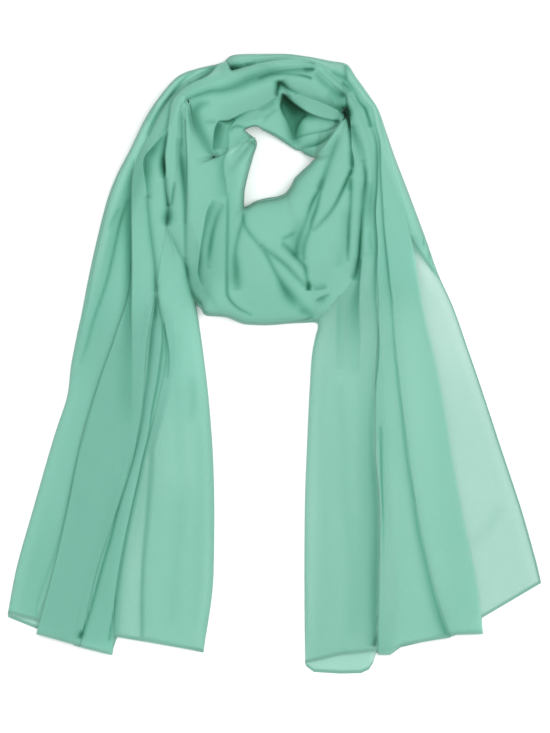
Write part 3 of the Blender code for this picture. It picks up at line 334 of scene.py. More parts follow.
# Creases in plan order.  A step has its higher cloth to the left or right when walking
# along its points, a groove has none, and a tone only paints shade into the colour.  A
# step's numbers are the lift of its high side, the depth of its low side and the painted
# shade there, each by its width in mm, a groove's the last two, and a tone's the last.
# The painted shade also counts as extra plies, and where it is negative it is painted light.
# slow changes of painted shade and painted light over wide stretches
# wedges of painted shade in the left bundle
CREASES = """
# top band and the bundle left of it
right; 0.6 by 3; 5 by 3.6; 0.4 0.85 0.75 0.55 0.35 0.15 0.05 by 5 5.5 5 4 3 2 1.6;
228.5,71.2 232,70.4 238,69 244,67.2 250,66 256,64.4

right; 0.4 by 3; 1.6 by 2.4; 0.5 0.4 0.25 0 by 2.4;
244,66.8 256,63.8 268,61.7 282,60 296,59.5

left; 1.2 by 4; 3 by 3.4; 0.3 0.7 0.8 0.7 0.4 0.2 by 3 5 4 2.6 2.6;
218,63.5 215.5,68 211,73.5 204,78 196,81.5 187,86

left; 0.8 by 4; 1.8 by 3; 0.2 0.3 0.3 0.35 by 2.8;
193,83 185,88 179,93 174,99 171,106 170,114 168.5,125 167,134

groove; 2.6 by 1.8; 0.2 0.4 0.6 0.6 0.5 0.1 by 1.5;
196,71.5 188,76 181,83 176,89 170,97 165,103 160,110.5 155.5,118 151,127 147,137

groove; 0.8 by 2; 0.18 by 1.6;
158,103 154,109 150,117 146,126

groove; 2.4 by 3.4; 0.2 0.35 0.38 0.36 0.38 0.4 0.42 0.42 0.4 0.38 0.4 0.3 by 2.6 2.6 2.8 4 5 5.4 5 3.4
2.4 2;
184,101 193,97.5 200,95 210,92 220,91 230,88.5 240,85 250,80 260,77 270,73.5 280,72 290,71 300,70.5
310,70 315,68

groove; 1.2 by 1.6; 0.2 0.35 0.3 0.2 0.25 0.6 0.6 by 1.3;
256,79.5 263,77 271,74.5 282,74 294,75 304,76.5 313,79.5

groove; 1.5 by 1.8; 0.4 by 1.8;
301,69.6 309,70 316,69.4

groove; 1.6 by 3.6; 0.1 0.25 0.3 0.3 0.32 0.5 0.3 by 3.4;
314.5,71.5 317,75.5 323,82.5 330,88.5 336,92.5 342,95.4 346.5,98

groove; 0.6 by 3; 0.1 0.4 0.1 by 2.2;
338.5,94 342.4,95.6 345.6,97.4

groove; 0.5 by 5; 0.05 0.2 0.24 0.15 by 6.5;
326,93 333,97 340,101 344,105

groove; 0.4 by 5; 0.1 0.5 0.7 0.6 by 4 5.4 4.8 3;
338,106.6 342.6,109 346,113 347.6,119

# arch and the bands below it
right; 1 by 4; 2 by 4; 0.5 0.35 0.2 0.25 0.35 0.5 0.6 by 1.4 2 3 4;
281,84 288,89.5 296,93.5 306,97 316,100.5 326,104.5 334,108.5 341,113 346,118.5

left; 1 by 4; 4 7 7 5 2.4 2.4 by 3 6 6 4 3 3; 0.8 1 1 0.8 0.4 0.4 0.5 by 3 6 8 6 2.6 2.4 2.2;
282,92 286,96.5 292,102 300,108 309,113.5 320,117.8 332,120.4 341,121

right; 0.6 by 3; 5 5 3 1.5 1 1 by 5; 0.6 0.85 0.7 0.35 0.25 0.15 0 by 4;
283,93 281.6,100 280.4,107 283,114 287,121 290,128 293,136 295,142

groove; 2 by 5; 0.6 0.85 0.8 0.7 0.6 0.55 0.42 0.1 by 2.5 5 7 8 7 5.4 4;
284,95 287,103 291,110 294,117 295,125 295.4,134 295.6,147

left; 0.5 by 3; 2 by 4; 0.8 0.6 0.4 0.2 by 4;
308,115 302,120 298,127 296,134 295,142

groove; 4 by 2.4; 0.5 1 0.9 0.8 0.7 0.2 by 2 3 2.4 2 1.8 1.4;
279.6,79.6 279,83 278.2,88 277,93 277,98.5

groove; 2.5 by 2; 0.9 0.8 0.45 0.2 0.05 by 2.6 2.2 1.8 1.6;
279,81.5 283,85.2 288,89.5 293,92.8 298,94.5

groove; 1.4 by 3; 0.22 by 2.6;
277,99 272,105 265,109 256,112

groove; 0.8 by 2; 0.16 by 1.6;
281,108 273,113 266,119 261,126

right; 0.5 by 2; 1.6 by 2.4; 0.2 0.45 0.4 0.3 0.4 0.4 by 1.5;
294,139.5 301,137 310,134.5 318,133 326,131 333,128.5 339,125

right; 0.4 by 3; 1.5 by 3; 0.1 0.45 0.58 0.62 0.58 0.45 0.1 by 3.6;
300,149.4 307,148.2 314,146.6 320.4,144.2 326,140.8 330,136.4 333.4,131.6

groove; 1 by 2; 0.5 by 2.2;
333,122 338,121.8 341,122

left; 0.4 by 3; 3 3 2 1 0.5 0.3 0.3 0.6 by 3; 0.5 0.85 0.8 0.5 0.2 0.1 0.1 0.2 0.3 by 2.8;
217,121.8 223,121.3 229,120.8 236,117.5 243,114 250,111 258,109.5 266,105 274,99 277,96

groove; 0.8 by 2; 0.2 by 2;
203,122.5 211,122.8 219,121.8

groove; 1 by 4; 0.05 0.22 0.36 0.44 0.46 0.46 0.46 0.45 0.43 0.41 0.38 0.32 0.22 0.1 by 2.6 3 4 5 5.6
5.6 5.4 5 4.8 4.6 4.4 4 4;
212,103.6 206,104 200.4,105.8 196.2,109.4 194.6,114 195.2,119 196.8,124 199.2,130 202.2,136 205.6,142
209.2,148 212.8,153.4 216.6,157.4 221,159

groove; 0.3 by 3; 0.02 0.1 0.12 0.1 0.05 by 4;
250,134.6 245,138 240,141 234,145 229,148

groove; -0.3 by 2; 0 -0.1 -0.2 -0.22 -0.2 0 by 1.5;
212,159 217,157.4 222,156 228,153 234,149.8 240,146 246,141.4 251,137

tone; 0 -0.12 -0.14 -0.12 0 by 4;
248,154 243.6,172 240.6,188 239,204 238,214

tone; 0 -0.12 -0.12 0 by 2.6;
233.6,140 233,148 230.6,157 228,166

left; 0.2 by 2; 0.6 by 2; 0.1 0.3 0.45 0.4 0.1 by 2.6;
155.6,286 156,294 156.4,302 156.4,311 156,321

right; 0.4 by 2; 1.6 by 5; 0.6 0.7 0.66 0.6 0.45 0.3 by 6 7.5 8 8 8.5;
218.4,121.6 216,127 214.6,132 213.8,138 213.6,144 213.6,151

left; 0.4 by 6; 1 by 6; 0.35 0.3 0.2 0.24 0.3 0.3 0.26 0.24 0.2 0.1 by 3 4 4.6 5 6 6;
236,119 231,127 228.8,134 228.8,141 228.4,148 226,155 223.5,163 224,173 226,184 226.6,198

groove; 1 by 1.6; 0.4 by 1.3;
230,135 232,129 237,126.5 243,127.5 248,130

# valley between the left bundle and the loop
groove; 1.4 by 1.6; 0.32 by 1.3;
181,109 181.5,125 181.5,140 180.5,152

left; 0.6 by 4; 2.4 by 4.5; 0 0.15 0.22 0.28 0.3 0.22 0.08 0 0 by 4.4;
185.5,118 186,135 186.8,150 187.2,165 187.2,180 187,195 186.6,210 186.2,225

groove; 2 by 2.4; 0.1 0.3 0.6 0.62 0.5 0.42 0.38 0.34 0.32 0.28 0.1 by 2 2.6 3 2.8 2.4 2 1.8 1.6 1.5
1.5;
178.8,138 179.6,148 180.6,157 181.8,166 183,176 184.2,188 185,200 185.2,215 185.2,240 185.4,262

# dark wedges in the left bundle
left; 1 by 4; 3 4 5 6 6 4 by 3.6; 0.3 0.65 0.6 0.65 0.9 1 1 0.5 by 2.6 4 4 3.6 4.4 4.6 3.4 2;
168.4,131 167.4,137 166.4,144 165.4,151 165,158 165.4,166 165.6,173 165,180

groove; 2 by 1.6; 0.5 0.45 0.45 0.6 0.8 by 1.6 1.6 1.8 2;
165,177 165.3,186 166.2,194 167.4,201 168.6,208

groove; 1 by 1.5; 0.1 0.35 0.38 0.2 by 1.5;
174.8,181 173.6,190 172.6,198 171.4,207

groove; 2 by 2.6; 0.3 0.45 0.66 0.78 0.7 0.2 by 1.8 2.6 3.7 4 3.2 1.8;
168.6,203 168.7,208.6 168.4,214 168,219 167.4,223.4 167,228

right; 0.8 by 4; 2.4 by 6; 0.2 0.45 0.55 0.5 0.5 0.5 0.45 0.4 0.35 by 3 5 7 8 7 5 3.4 2.6;
162.5,136 157,142.5 151,149.5 145.5,156 143.6,163 144.4,172 145.8,182 147,192 147.6,200

groove; 1.2 by 2.6; 0.3 0.32 0.3 0.32 0.34 0.32 0.32 0.4 0.3 by 2.5;
147.6,194 148,205 149,218 150.6,232 152.4,246 154.4,260 155.4,273 155.4,284 155.8,293

left; 1 1.2 1.2 1 0.3 0 by 4; 2 2.8 2.8 2 0.5 0 by 6; 0.1 0.4 0.55 0.6 0.55 0.4 0.28 0.2 0.18 0.05 by 4
5 6 6 6 8 11 12 11;
135,158 131.8,178 131,192 131,210 131.3,240 131.5,270 131.3,292 131,312 131.5,350 132,395 132,425

groove; 1.2 by 1.8; 0.2 0.5 0.4 0.4 0.4 0.35 0.3 0.3 0.1 by 1.4;
129.5,198 125,209 120.5,222 117,237 114,251 111,264 108,277 104,290 100,302 96,313 92,325 89,337 85,350
79,366

groove; 0.8 by 2; 0.24 by 1.8;
123,205 116,214 111,224 108,233

tone; 0 0.07 0.08 0.06 0 by 12;
110,250 100,300 90,350 80,400

left; 0.6 by 2; 1 by 2.4; 0.08 0.17 0.19 0.24 0.25 0.2 by 1.8;
130,291 125.5,304 121,317 117,330 112,346 106,362 101,376 97,389 92,405 86,430 80,450 74,476 68,505
58.5,545 46,580 38,605 36.4,628

# pleats of the left tail
right; 0.6 by 3; 3 3 2 1.2 1 1 by 3; 0.1 0.5 0.55 0.48 0.42 0.42 0.45 0.5 0.55 0.6 0.6 0.6 0.6 by 1.5
3.4 3.4 2.6 2 1.8 1.8 1.9 2 2 2 2;
155.2,283 155.8,291 156,298 155,306 153,318 151,330 149.5,345 148,362 146.5,380 144,397 142,415
138.5,435 134.5,452 129.5,468 125,484 120,500 114.5,520 109.5,540 103.5,560 98,580 92.5,600 86.5,620
80.5,637

left; 0.5 by 4; 1.4 by 4; 0.1 0.35 0.4 0.42 0.28 0.1 by 2 3 4;
157,296 159.5,307 162,317 164.5,327 167,338 169,350 169.5,362 168,380

right; 0.5 by 3; 1.2 by 2.6; 0.2 0.5 0.5 0.45 0.45 0.5 0.5 0.5 0.55 0.5 0.5 0.5 by 1.9;
162,322 162,340 160.5,355 158.5,372 155,392 151.5,410 149,430 145.5,446 142,460 139,475 135.5,491
131,511 127,530 123,550 119.5,570 116.5,590 113.5,610 110,630 108,642

groove; 0.5 by 2; 0.1 by 1.5;
152,450 148.4,480 147.4,510 146.6,540 143.6,562 142.4,582 141.6,602 142,634

tone; 0 0.08 0.1 0.06 0 by 5;
148,455 144,480 141,505 137,530 133,560

tone; 0.04 0.1 0.12 0.1 by 4;
131,540 125,565 121,590 117,634

tone; 0 -0.07 -0.07 0 by 18;
185,395 183,430 182,465 182,510

groove; 0.8 by 5; 0.06 by 5;
178,330 176,380 180,440 182,500 176,570 172,630

groove; 0.8 by 4; 0.1 by 4;
190,372 193,390 193,405 190,425

groove; 0.7 by 5; 0.05 by 5;
200,420 202,480 200,550 194,630

groove; 2 by 2.4; 0.3 0.8 0.8 by 2;
83,629 80.5,635 79.5,640

# right edge of the loop and its pocket
left; 1 by 4; 1 2 4 3 2 2 by 3; 0.15 0.3 0.55 0.8 0.9 0.8 0.65 0.6 0.55 0.5 0.5 0.5 0.3 by 1.6 2 3 3 2.4
2 2 2 2;
345.9,93 346.4,99 347.3,104 348.6,109 349.4,114 349.6,120 350.2,127 350.8,134 351,141 351.2,148
352.4,155 353.4,162 353.4,169

groove; 1 by 2.4; 0.1 0.35 0.55 0.6 0.6 0.3 by 2;
350,150 351,157 351.5,163 351.8,168 350.5,173 348.4,177.5

right; 1 by 3; 1.5 3 4 3 1 by 5; 0.2 0.55 0.85 0.95 0.85 0.4 by 3 4 4 2.6 1.6;
334,107.4 339,109.8 343,113.4 345.8,118 347.4,123.4 348.8,131

groove; 1.2 by 3; 0 0.35 0.6 0.7 0.3 by 2 3.4 3 2;
342,104 343.6,107.5 345.4,111 347,116 348,121

groove; 2 by 1.8; 0.3 0.7 0.7 0.55 0.45 0.35 0.3 0.2 0.05 by 1.7;
351.6,169 350,174 347.4,179 344.8,185 342,191 338.6,198 335,205 328,215 318,226 311,232

groove; 1 1 2 2 1 by 1.8; 0.1 0.4 0.42 0.4 0.36 0.4 0.5 0.5 0.52 0.55 0.5 0.45 0.25 0.05 by 1.9;
351,176 350.8,183 351,190 350.8,197 350.6,204 350,211 349.3,218 348.8,225 348.6,232 348.3,239 348,246
347.7,252 347.8,258 348.6,264

groove; 0.5 by 3; 0.1 0.3 0.3 0.1 by 2.6;
349.6,176 349.6,181 349.4,187 349,193

groove; 0.8 by 3; 0.3 0.38 0.42 0.32 0.25 0.2 0.15 0.05 by 3.2;
351.6,124 352.6,129 354,134.5 356,140 358.6,146 360.6,152 362,158 363.4,164

groove; 1 1 1.5 2 2.5 2.5 2 by 3 3 4; 0.1 0.35 0.55 0.6 0.6 0.5 0.45 0.45 0.55 0.6 0.7 0.8 0.85 0.88
0.88 0.85 0.78 0.65 0.4 by 1.6 1.6 1.8 1.8 2 2.2 2.2 2 1.9 1.8 1.8 1.9 2 2.1 2.2 2.4 2.6 2.8;
362.6,158 363.4,164 364.6,170 365.3,176 365.2,182 364.4,189 363.6,195 363,201 362.6,207 361.9,213
361.4,219 361.1,226 360.6,233 360.1,240 359.7,247 359.3,254 358.4,261 357.2,268 355.4,275 352.8,281

groove; 0.6 by 5; 0.05 0.2 0.24 0.22 0.14 0.05 by 4.2;
367.4,180 368.4,190 368.6,200 368.2,210 367.4,220 367,230

groove; 0.4 by 3; 0.05 0.16 0.18 0.1 by 2;
368,228 369.6,238 371,248 373,257

groove; 0.4 by 3; 0.05 -0.1 -0.14 -0.12 -0.05 by 3.4;
368,252 367,264 366,278 366.4,292 368,304

left; 0.6 by 4; 2.5 by 5; 0.1 0.4 0.45 0.5 0.55 0.56 0.56 0.52 0.48 0.42 0.36 0.3 0.24 0.17 0.14 0.12
0.1 0.04 by 2 2.6 3.6 4.4 6.6 8.6 10 11 11.5 11.5 11 10 9 8;
361.4,258 360.6,264.5 360.2,271 359.8,277 359.4,283 359.1,289 358.9,295 358.7,301 358.6,307 358.7,313
358.9,319 359.2,325 359.6,332 359.4,340 359,348 358.6,356 358,364 357,374

right; 0.3 by 4; 1 by 6; 0.1 0.3 0.3 0.2 0.1 by 6;
338,294 336.5,310 336.5,330 338,370

# creases down the right band
groove; 0.6 0.8 1 by 2; 0.2 0.42 0.46 0.5 0.45 0.42 0.38 0.36 0.4 0.48 0.62 0.62 0.55 0.5 0.5 by 2.2 2 2
1.9 2 2 2 2 2 2 1.8 1.8 2 2;
345.4,64 345.2,70 345.5,75 346.2,79.6 348.6,83.6 351,87 353.4,90.4 355.4,94 357.2,98.4 359,102.4
361.8,105.6 364.6,108.6 366.2,112 367.6,117 369.2,122.6 371.4,129

groove; 0.5 by 2; 0.15 0.5 0.45 0.3 0.1 by 1.9;
340.4,81.4 343.2,84.2 346,86.6 349,89.6 352,93.6

left; 0.5 by 2; 1 1.5 2 2 2 2 2 1.5 1.5 by 2 2 2.4 3 3 3; 0.05 0.4 0.45 0.45 0.45 0.48 0.48 0.4 0.3 0.38
0.42 0.42 0.45 0.5 0.5 0.6 by 2 2.4 3 3 3 2.6 2 1.8 2.4 3.4 5 6 6.5 6.5 6 5.4;
368.4,122 371.6,130 375,138 376.6,145 377.1,152 377.3,165 377.3,182 376.5,196 375.4,210 375.6,222
376.6,236 377.2,250 376.4,265 376,285 376.6,302 378,322 379,345 378,365 376,382 374.5,400 373.3,420
373.3,440 374.5,460 376.3,480 378,500 379.2,530 378.2,560 377.2,600 377,635 375.5,648

left; 0.3 by 2; 0.8 1.2 1.2 1.2 1.2 by 2.4; 0.05 0.16 0.25 0.3 0.45 0.5 0.42 0.4 0.4 0.42 0.42 0.44 0.44
0.4 0.32 0.26 0.26 0.28 0.28 0.3 0.34 0.36 0.38 0.38 0.38 0.38 0.38 0.38 0.38 0.38 0.36 0.36 0.36 0.36
0.4 0.45 by 2.6 2.8 2.6 2.4 2 2.2 3 3.4 3 2.6 2.2 2.2 2.4 2.6 3 3.2 3.2 3.2 3.4;
351,80 355,86.5 359,92.6 363.6,99.4 368,104.4 371.6,109 373.6,114 375,121 376.4,129 379,138 380.2,146
380.5,155 380.6,167 381.2,180 382,192 382.6,203 383.4,215 384.4,230 386,245 388,262 389.6,280 391.4,300
393,325 395,350 397.3,370 399.5,390 402,410 405,435 408,460 411.3,480 414.5,500 417.3,520 420.5,537
424,552 429.5,575 434.5,595 440.5,615 446,630 450,636.5

groove; 0.6 by 1.2; 0.3 0.45 0.5 0.45 0.3 0.1 by 1.2;
380.5,425 381,450 381.4,475 382.2,495 382.9,520 382.6,560

tone; 0 -0.3 -0.3 -0.3 -0.25 0 by 1.3;
376.4,430 377.2,450 378.4,472 379.6,495 380.6,520 380.4,562

groove; 0.8 by 2.6; 0.1 0.25 0.35 0.4 0.2 by 2.6;
330,70.5 335.6,74.4 340.6,76.8 344.6,79 347,81.6

left; 0.5 by 3; 0.3 by 2; 0 0.35 0.4 0.3 0.1 by 1.2;
411,238 416,246 422,254 428,263 434,272 440,281

groove; 0.5 by 5; 0.05 by 6;
467,550 482,535 493,520 503,500

groove; 0.8 by 5; 0.08 by 5;
341,380 343,440 346,500 352,560 352,640

groove; 0.8 by 5; 0.04 by 5;
322,360 320,430 324,520 322,640

groove; 1.5 by 2; 0.2 0.7 0.8 by 1.8;
376,634 375.5,641 375,648

left; 0 by 3; 0 by 3; 0 0.03 0.06 0.1 by 8 12 16;
418,528 428,569 439,610 450,638

# lower left edge of the loop
groove; 1 by 2.5; 0.1 0.5 0.72 0.66 0.45 0.42 0.55 0.55 0.3 by 2.2;
182.6,256 185.2,263 187,270 188,277 189,284 191,290.4 194,296 197.6,301 201.4,306

groove; 0.6 by 2.5; 0.1 0.2 0.22 0.22 0.1 by 2.2;
167,227 171,236 176,246 180,254 183,260

# folds in the front of the loop
right; 0.6 by 4; 1 2 2 2 1 by 4; 0.05 0.3 0.4 0.45 0.45 0.45 0.45 0.55 0.65 0.6 0.35 0.1 by 6 6 5 3.4 3
2.6 2.6 2.6 2.4 2.4 2.4;
214,199 210.5,205 207.6,211 206,218 204.3,228 202.5,238 201,247 199.8,256 198.8,265 198.3,273 200,281
203,288

groove; 1.6 by 3; 0.05 0.25 0.36 0.42 0.48 0.54 0.55 0.42 0.2 0.05 by 2.5;
224,204 220.4,210 217,217 214.6,225 212.6,233 211.2,241 210,249 209,257 208.4,264 208.4,271

groove; 0.5 1 1.4 1.4 2 2 1 0.5 by 1.8; 0.05 0.3 0.35 0.36 0.4 0.4 0.48 0.52 0.4 0.15 by 1.4;
227.5,190 227.8,205 227.7,222 227.3,240 227,258 226.8,276 227,292 230,300 236,306.5 244,311.5 254,316

groove; 0.5 1 1.2 1.5 1.5 1 by 4; 0.1 0.3 0.36 0.34 0.32 0.36 0.46 0.5 0.48 0.36 0.12 by 1.8 1.8 2 2 2.4
3.4 4.2 4.4 4.2;
243.8,212 242.6,221 240.2,230 238,238 236.2,246 235.2,254 235.4,262 236,270 236.4,278 237.2,285
238.4,292

groove; 1 by 3; 0.05 0.32 0.38 0.34 0.3 0.28 0.2 by 1.6 1.6 2 2.2 2.4;
243.6,208 243.6,218 244.6,225.4 248,231.6 252.4,237.2 257.4,243 263,248.8

groove; 0.8 1 1.2 2 2 1.5 by 3.6; 0.15 0.3 0.36 0.36 0.36 0.38 0.44 0.55 0.6 0.56 0.46 0.32 0.18 0.1
0.03 by 2.4 2.2 2 2 2 2.2 2.6 3.2 4 4.8 5.2 5.4 5 4.6 4;
260.5,247.6 264.6,252 267.8,257.6 270.6,263 273.4,268.6 276.2,274 279,279 281.4,283.4 283.8,287.6
286.6,291.8 289.6,296 293.4,300.4 298,304.6 304,309 311,313.4

groove; 1.4 by 2.6; 0.1 0.24 0.26 0.32 0.38 0.4 0.4 0.38 0.34 0.3 0.28 0.2 by 2.3;
259,244 264,248.6 269,252.4 274,256 278.6,259.4 282.8,263 287,266.8 291,271 295,275.6 299,279.6
302.6,283.4 305.4,287.4

groove; 0.8 1.2 1.6 1.4 1.2 1.6 by 3; 0.1 0.32 0.4 0.45 0.6 0.62 0.48 0.5 0.55 0.48 0.4 0.42 0.5 0.5 by
2.2 2.6 2.6 2.6 2.8 2.6 2.4 2.4 2.4 2 1.9 1.9 2 2.2;
280,241.6 284.6,246 288.6,249.6 292,252.6 294.8,255.6 297.4,258.6 300.2,261.6 303,264.6 305,268
306,272.4 306.6,277 307.4,281.5 308.2,286 308.6,290

right; 0.3 by 3; 1.2 by 3; 0.1 0.6 0.85 0.6 0.1 by 2 3 4.4 3 2;
303.6,290.2 306,290.3 308.8,290.4 311.4,290.4 313.4,290.3

groove; 0.6 by 2; 0.1 0.5 0.6 0.2 by 1.4 2 2.8 2.6;
307.6,280 308.4,283 308.8,286 308.8,289.6

groove; 1 by 2; 0.3 by 1.8;
279,242 284,238.5 290,235.5 297,231

groove; 1 by 2; 0 0.1 0.3 0.44 0.5 0.54 0.45 0.34 0.3 0.32 0.34 0.3 by 1.6 1.6 1.6 1.8 2 2 2 2.2 2.4 2.2
2;
323,178 321,188 319.4,197 317.4,205 314.6,213.6 312,221 310,229 307,237 304.6,244 303.4,251 303.6,257
304.6,262

groove; 1.2 by 2; 0 0 0.1 0.3 0.5 0.62 0.5 0.34 0.22 0.22 0.26 0.4 0.3 by 2;
329.4,160 326.4,170 323.4,179 320,187.6 316,195.4 312.4,202 309.6,209 307,217 304,225.6 300.4,234
297.6,242 296.4,250 296.4,257

groove; 0.4 by 3; 0.02 0.14 0.22 0.24 0.22 0.1 by 6 6 7 7 5;
305,216 301,226 298,236 297,244 298,251 301,258

groove; 1.2 by 3; 0.05 0.26 0.32 0.32 0.3 0.32 0.34 0.2 by 2.8;
338.6,134 336,142 333,150 330.4,158 327.6,166 324.8,174 321.6,182 317.6,191

right; 0.4 by 3; 1 by 3; 0.1 0.3 0.34 0.32 0.1 by 3.8;
311,290.2 315,290.2 320,289.8 325,288.8 329,287

left; 0.4 by 3; 1.2 by 4; 0.1 0.45 0.45 0.3 0.1 by 2 4 5 3 2;
314,301 318,298.8 322,296.8 327,295 331,294

groove; 0.8 by 5; 0.1 by 4;
344,206 345,230 342,252 336,272

groove; 0.8 by 5; 0.3 by 4;
296,309 306,312 318,319

groove; 0.4 by 5; 0.02 0.12 0.12 0.02 by 3;
203,286 210,296 217,307 222,313

# slow changes of tone over wide stretches
tone; 0 0.07 0.07 0.09 0.1 0 by 17;
220,160 228,190 226,220 216,250 206,275 202,300

tone; 0 0.07 0.07 0 by 14;
232,285 262,302 288,304 306,300

tone; 0 0.07 0.08 0.07 by 9;
124,480 116,520 106,565 100,600 95,645

tone; 0 0.05 0.07 0.05 by 9;
56,500 44,545 34,585 24,612

tone; 0 0.18 0.2 0.14 0 by 8;
157,140 138,176 125,208 114,245 104,285

tone; 0 -0.16 -0.14 -0.06 0 by 6;
416,247 420,258 425,270 430,282 435,294

tone; 0 -0.07 -0.07 0 by 5;
262,67 285,65 300,65 312,66

tone; 0 -0.1 -0.12 -0.1 -0.06 -0.05 0 by 18;
346,262 350,310 350,360 350,420 352,500 354,580 356,660

tone; 0 -0.08 -0.1 -0.12 -0.12 -0.1 -0.06 0 by 13;
318,322 316,350 314,400 312,450 312,500 312,560 312,610 314,650

tone; 0 0.06 0.1 0.13 0.15 0.14 0.12 0.1 0 by 9;
366,330 367,370 366,410 365,450 367,490 368,530 367,570 366,610 366,650

tone; 0 -0.06 -0.08 -0.08 0 by 8;
387,440 388,500 388,550 389,600 391,645

tone; 0 0.1 0.1 0 by 9;
188,262 196,276 203,290 212,306

tone; 0 -0.09 -0.12 -0.1 -0.08 -0.08 0 by 18;
398,262 404,310 408,360 412,420 420,500 428,580 430,655
"""


def read_entries(text):
    """Fields of each entry: blank lines part the entries, semicolons part the fields."""
    lines = [line for line in text.strip().splitlines() if not line.startswith("#")]
    return [entry.split(";") for entry in "\n".join(lines).split("\n\n")]


def read_word(word):
    """None for a dash, a number, a tuple where there are commas, or else the word itself."""
    if word == "-":
        return None
    if "," in word:
        return tuple(float(part) for part in word.split(","))
    try:
        return float(word)
    except ValueError:
        return word


def read_words(text):
    return [read_word(word) for word in text.split()]


def read_rows(text):
    return [read_words(line) for line in text.strip().splitlines()]


def read_run(text):
    """One number, or a tuple of the numbers that run evenly along a line."""
    values = tuple(read_words(text))
    return values if len(values) > 1 else values[0]


# Side of the higher cloth for each kind of crease, 0 where there is none.
SIDES = {"left": 1, "right": -1, "groove": 0, "tone": 0}
NO_PROFILE = (0.0, 1.0)


def read_creases(text):
    """Each crease's side, its lift, dip and painted shade, each with a width, and its points."""
    creases = []
    for kind, *profiles, points in read_entries(text):
        pairs = [tuple(read_run(part) for part in profile.split("by")) for profile in profiles]
        absent = [NO_PROFILE] * (3 - len(pairs))
        creases.append((SIDES[kind], *absent, *pairs, read_words(points)))
    return creases


CREASE_LINES = read_creases(CREASES)
SEAM_LINES = {name: (read_words(points), read_run(heights))
              for name, heights, points in read_entries(SEAMS)}

# Steepest slope of a curve at a point, in steps to its nearer neighbour, and a length
# squared that counts as none.
SLOPE_LIMIT = 2.2
TINY = 1e-12


def spline(points, at):
    """Cubic through the rows of points, at the row numbers 'at'."""
    pts = np.asarray(points, float)
    last = len(pts) - 1
    slopes = np.zeros_like(pts)
    slopes[1:-1] = (pts[2:] - pts[:-2]) / 2.0
    slopes[0] = pts[1] - pts[0]
    slopes[-1] = pts[-1] - pts[-2]
    step = pts[1:] - pts[:-1]
    limit = np.full_like(pts, np.inf)
    limit[:-1] = np.minimum(limit[:-1], SLOPE_LIMIT * np.abs(step))
    limit[1:] = np.minimum(limit[1:], SLOPE_LIMIT * np.abs(step))
    slopes = np.clip(slopes, -limit, limit)
    low = np.clip(np.floor(at).astype(int), 0, last - 1)
    t = (at - low)[:, None]
    h1 = (1 + 2 * t) * (1 - t) ** 2
    h2 = t * (1 - t) ** 2
    h3 = t * t * (3 - 2 * t)
    h4 = t * t * (t - 1)
    return h1 * pts[low] + h2 * slopes[low] + h3 * pts[low + 1] + h4 * slopes[low + 1]


def smooth_line(points, per_span=5):
    count = (len(points) - 1) * per_span + 1
    return spline(points, np.linspace(0, len(points) - 1, count))


def smoothstep(low, high, value):
    t = np.clip((value - low) / (high - low), 0, 1)
    return t * t * (3 - 2 * t)


def softened(values, reach):
    """A run of numbers averaged over its neighbours on both sides."""
    kernel = np.hanning(2 * reach + 3)[1:-1]
    return np.convolve(np.pad(values, reach, mode="edge"), kernel / kernel.sum(), mode="valid")


def run_length(points):
    """Length walked along the points, up to each of them."""
    return np.concatenate([[0.0], np.cumsum(np.linalg.norm(np.diff(points, axis=0), axis=1))])


def nearest(line, pts):
    """Signed distance to a polyline, share of its length there, and foot point."""
    best = np.full(len(pts), np.inf)
    sign = np.ones(len(pts))
    share = np.zeros(len(pts))
    foot = np.zeros((len(pts), 2))
    run = run_length(line)
    for k in range(len(line) - 1):
        a = line[k]
        d = line[k + 1] - a
        size = float(d @ d)
        if size < TINY:
            continue
        rel = pts - a
        t = np.clip(rel @ d / size, 0.0, 1.0)
        close = a + t[:, None] * d
        gap = pts - close
        dist = np.hypot(gap[:, 0], gap[:, 1])
        cross = d[0] * rel[:, 1] - d[1] * rel[:, 0]
        near = dist < best
        best = np.where(near, dist, best)
        sign = np.where(near, np.where(cross < 0, 1.0, -1.0), sign)
        share = np.where(near, (run[k] + t * math.sqrt(size)) / run[-1], share)
        foot[near] = close[near]
    return best * sign, share, foot


def along(value, share):
    """A line's number at each share of its length."""
    if isinstance(value, tuple):
        return np.interp(share, np.linspace(0, 1, len(value)), value)
    return np.full(len(share), float(value))


def bell(profile, share, distance, power):
    """A crease's profile: its size at each share of the length, fading over its width."""
    size, width = profile
    return along(size, share) * np.exp(-(np.abs(distance) / along(width, share)) ** power)


# Share of a crease's relief that is built, and how far around it points are looked at.
RELIEF = 0.75
REACH_IN_WIDTHS = 2.6
REACH_MORE = 2
# A crease fades in over these mm at its ends, by whether its painted shade is a run or one
# number, and over this share of its length at most.
ENDS_IN_RUN = 2.5
ENDS_IN_PLAIN = 8.0
ENDS_AT_MOST = 0.35
# Powers of the fading across: wide tones have flatter middles than narrow ones.
DIP_POWER = 1.6
LIFT_POWER = 1.5
TONE_POWER = (1.5, 2.6)
TONE_POWER_PER_MM = 0.25
TONE_NARROW = 3
# Softness in mm of a step's edge, and the limits of a tone, from painted light to painted shade.
STEP_SOFT = 0.55
TONE_LIMITS = (-0.3, 0.98)


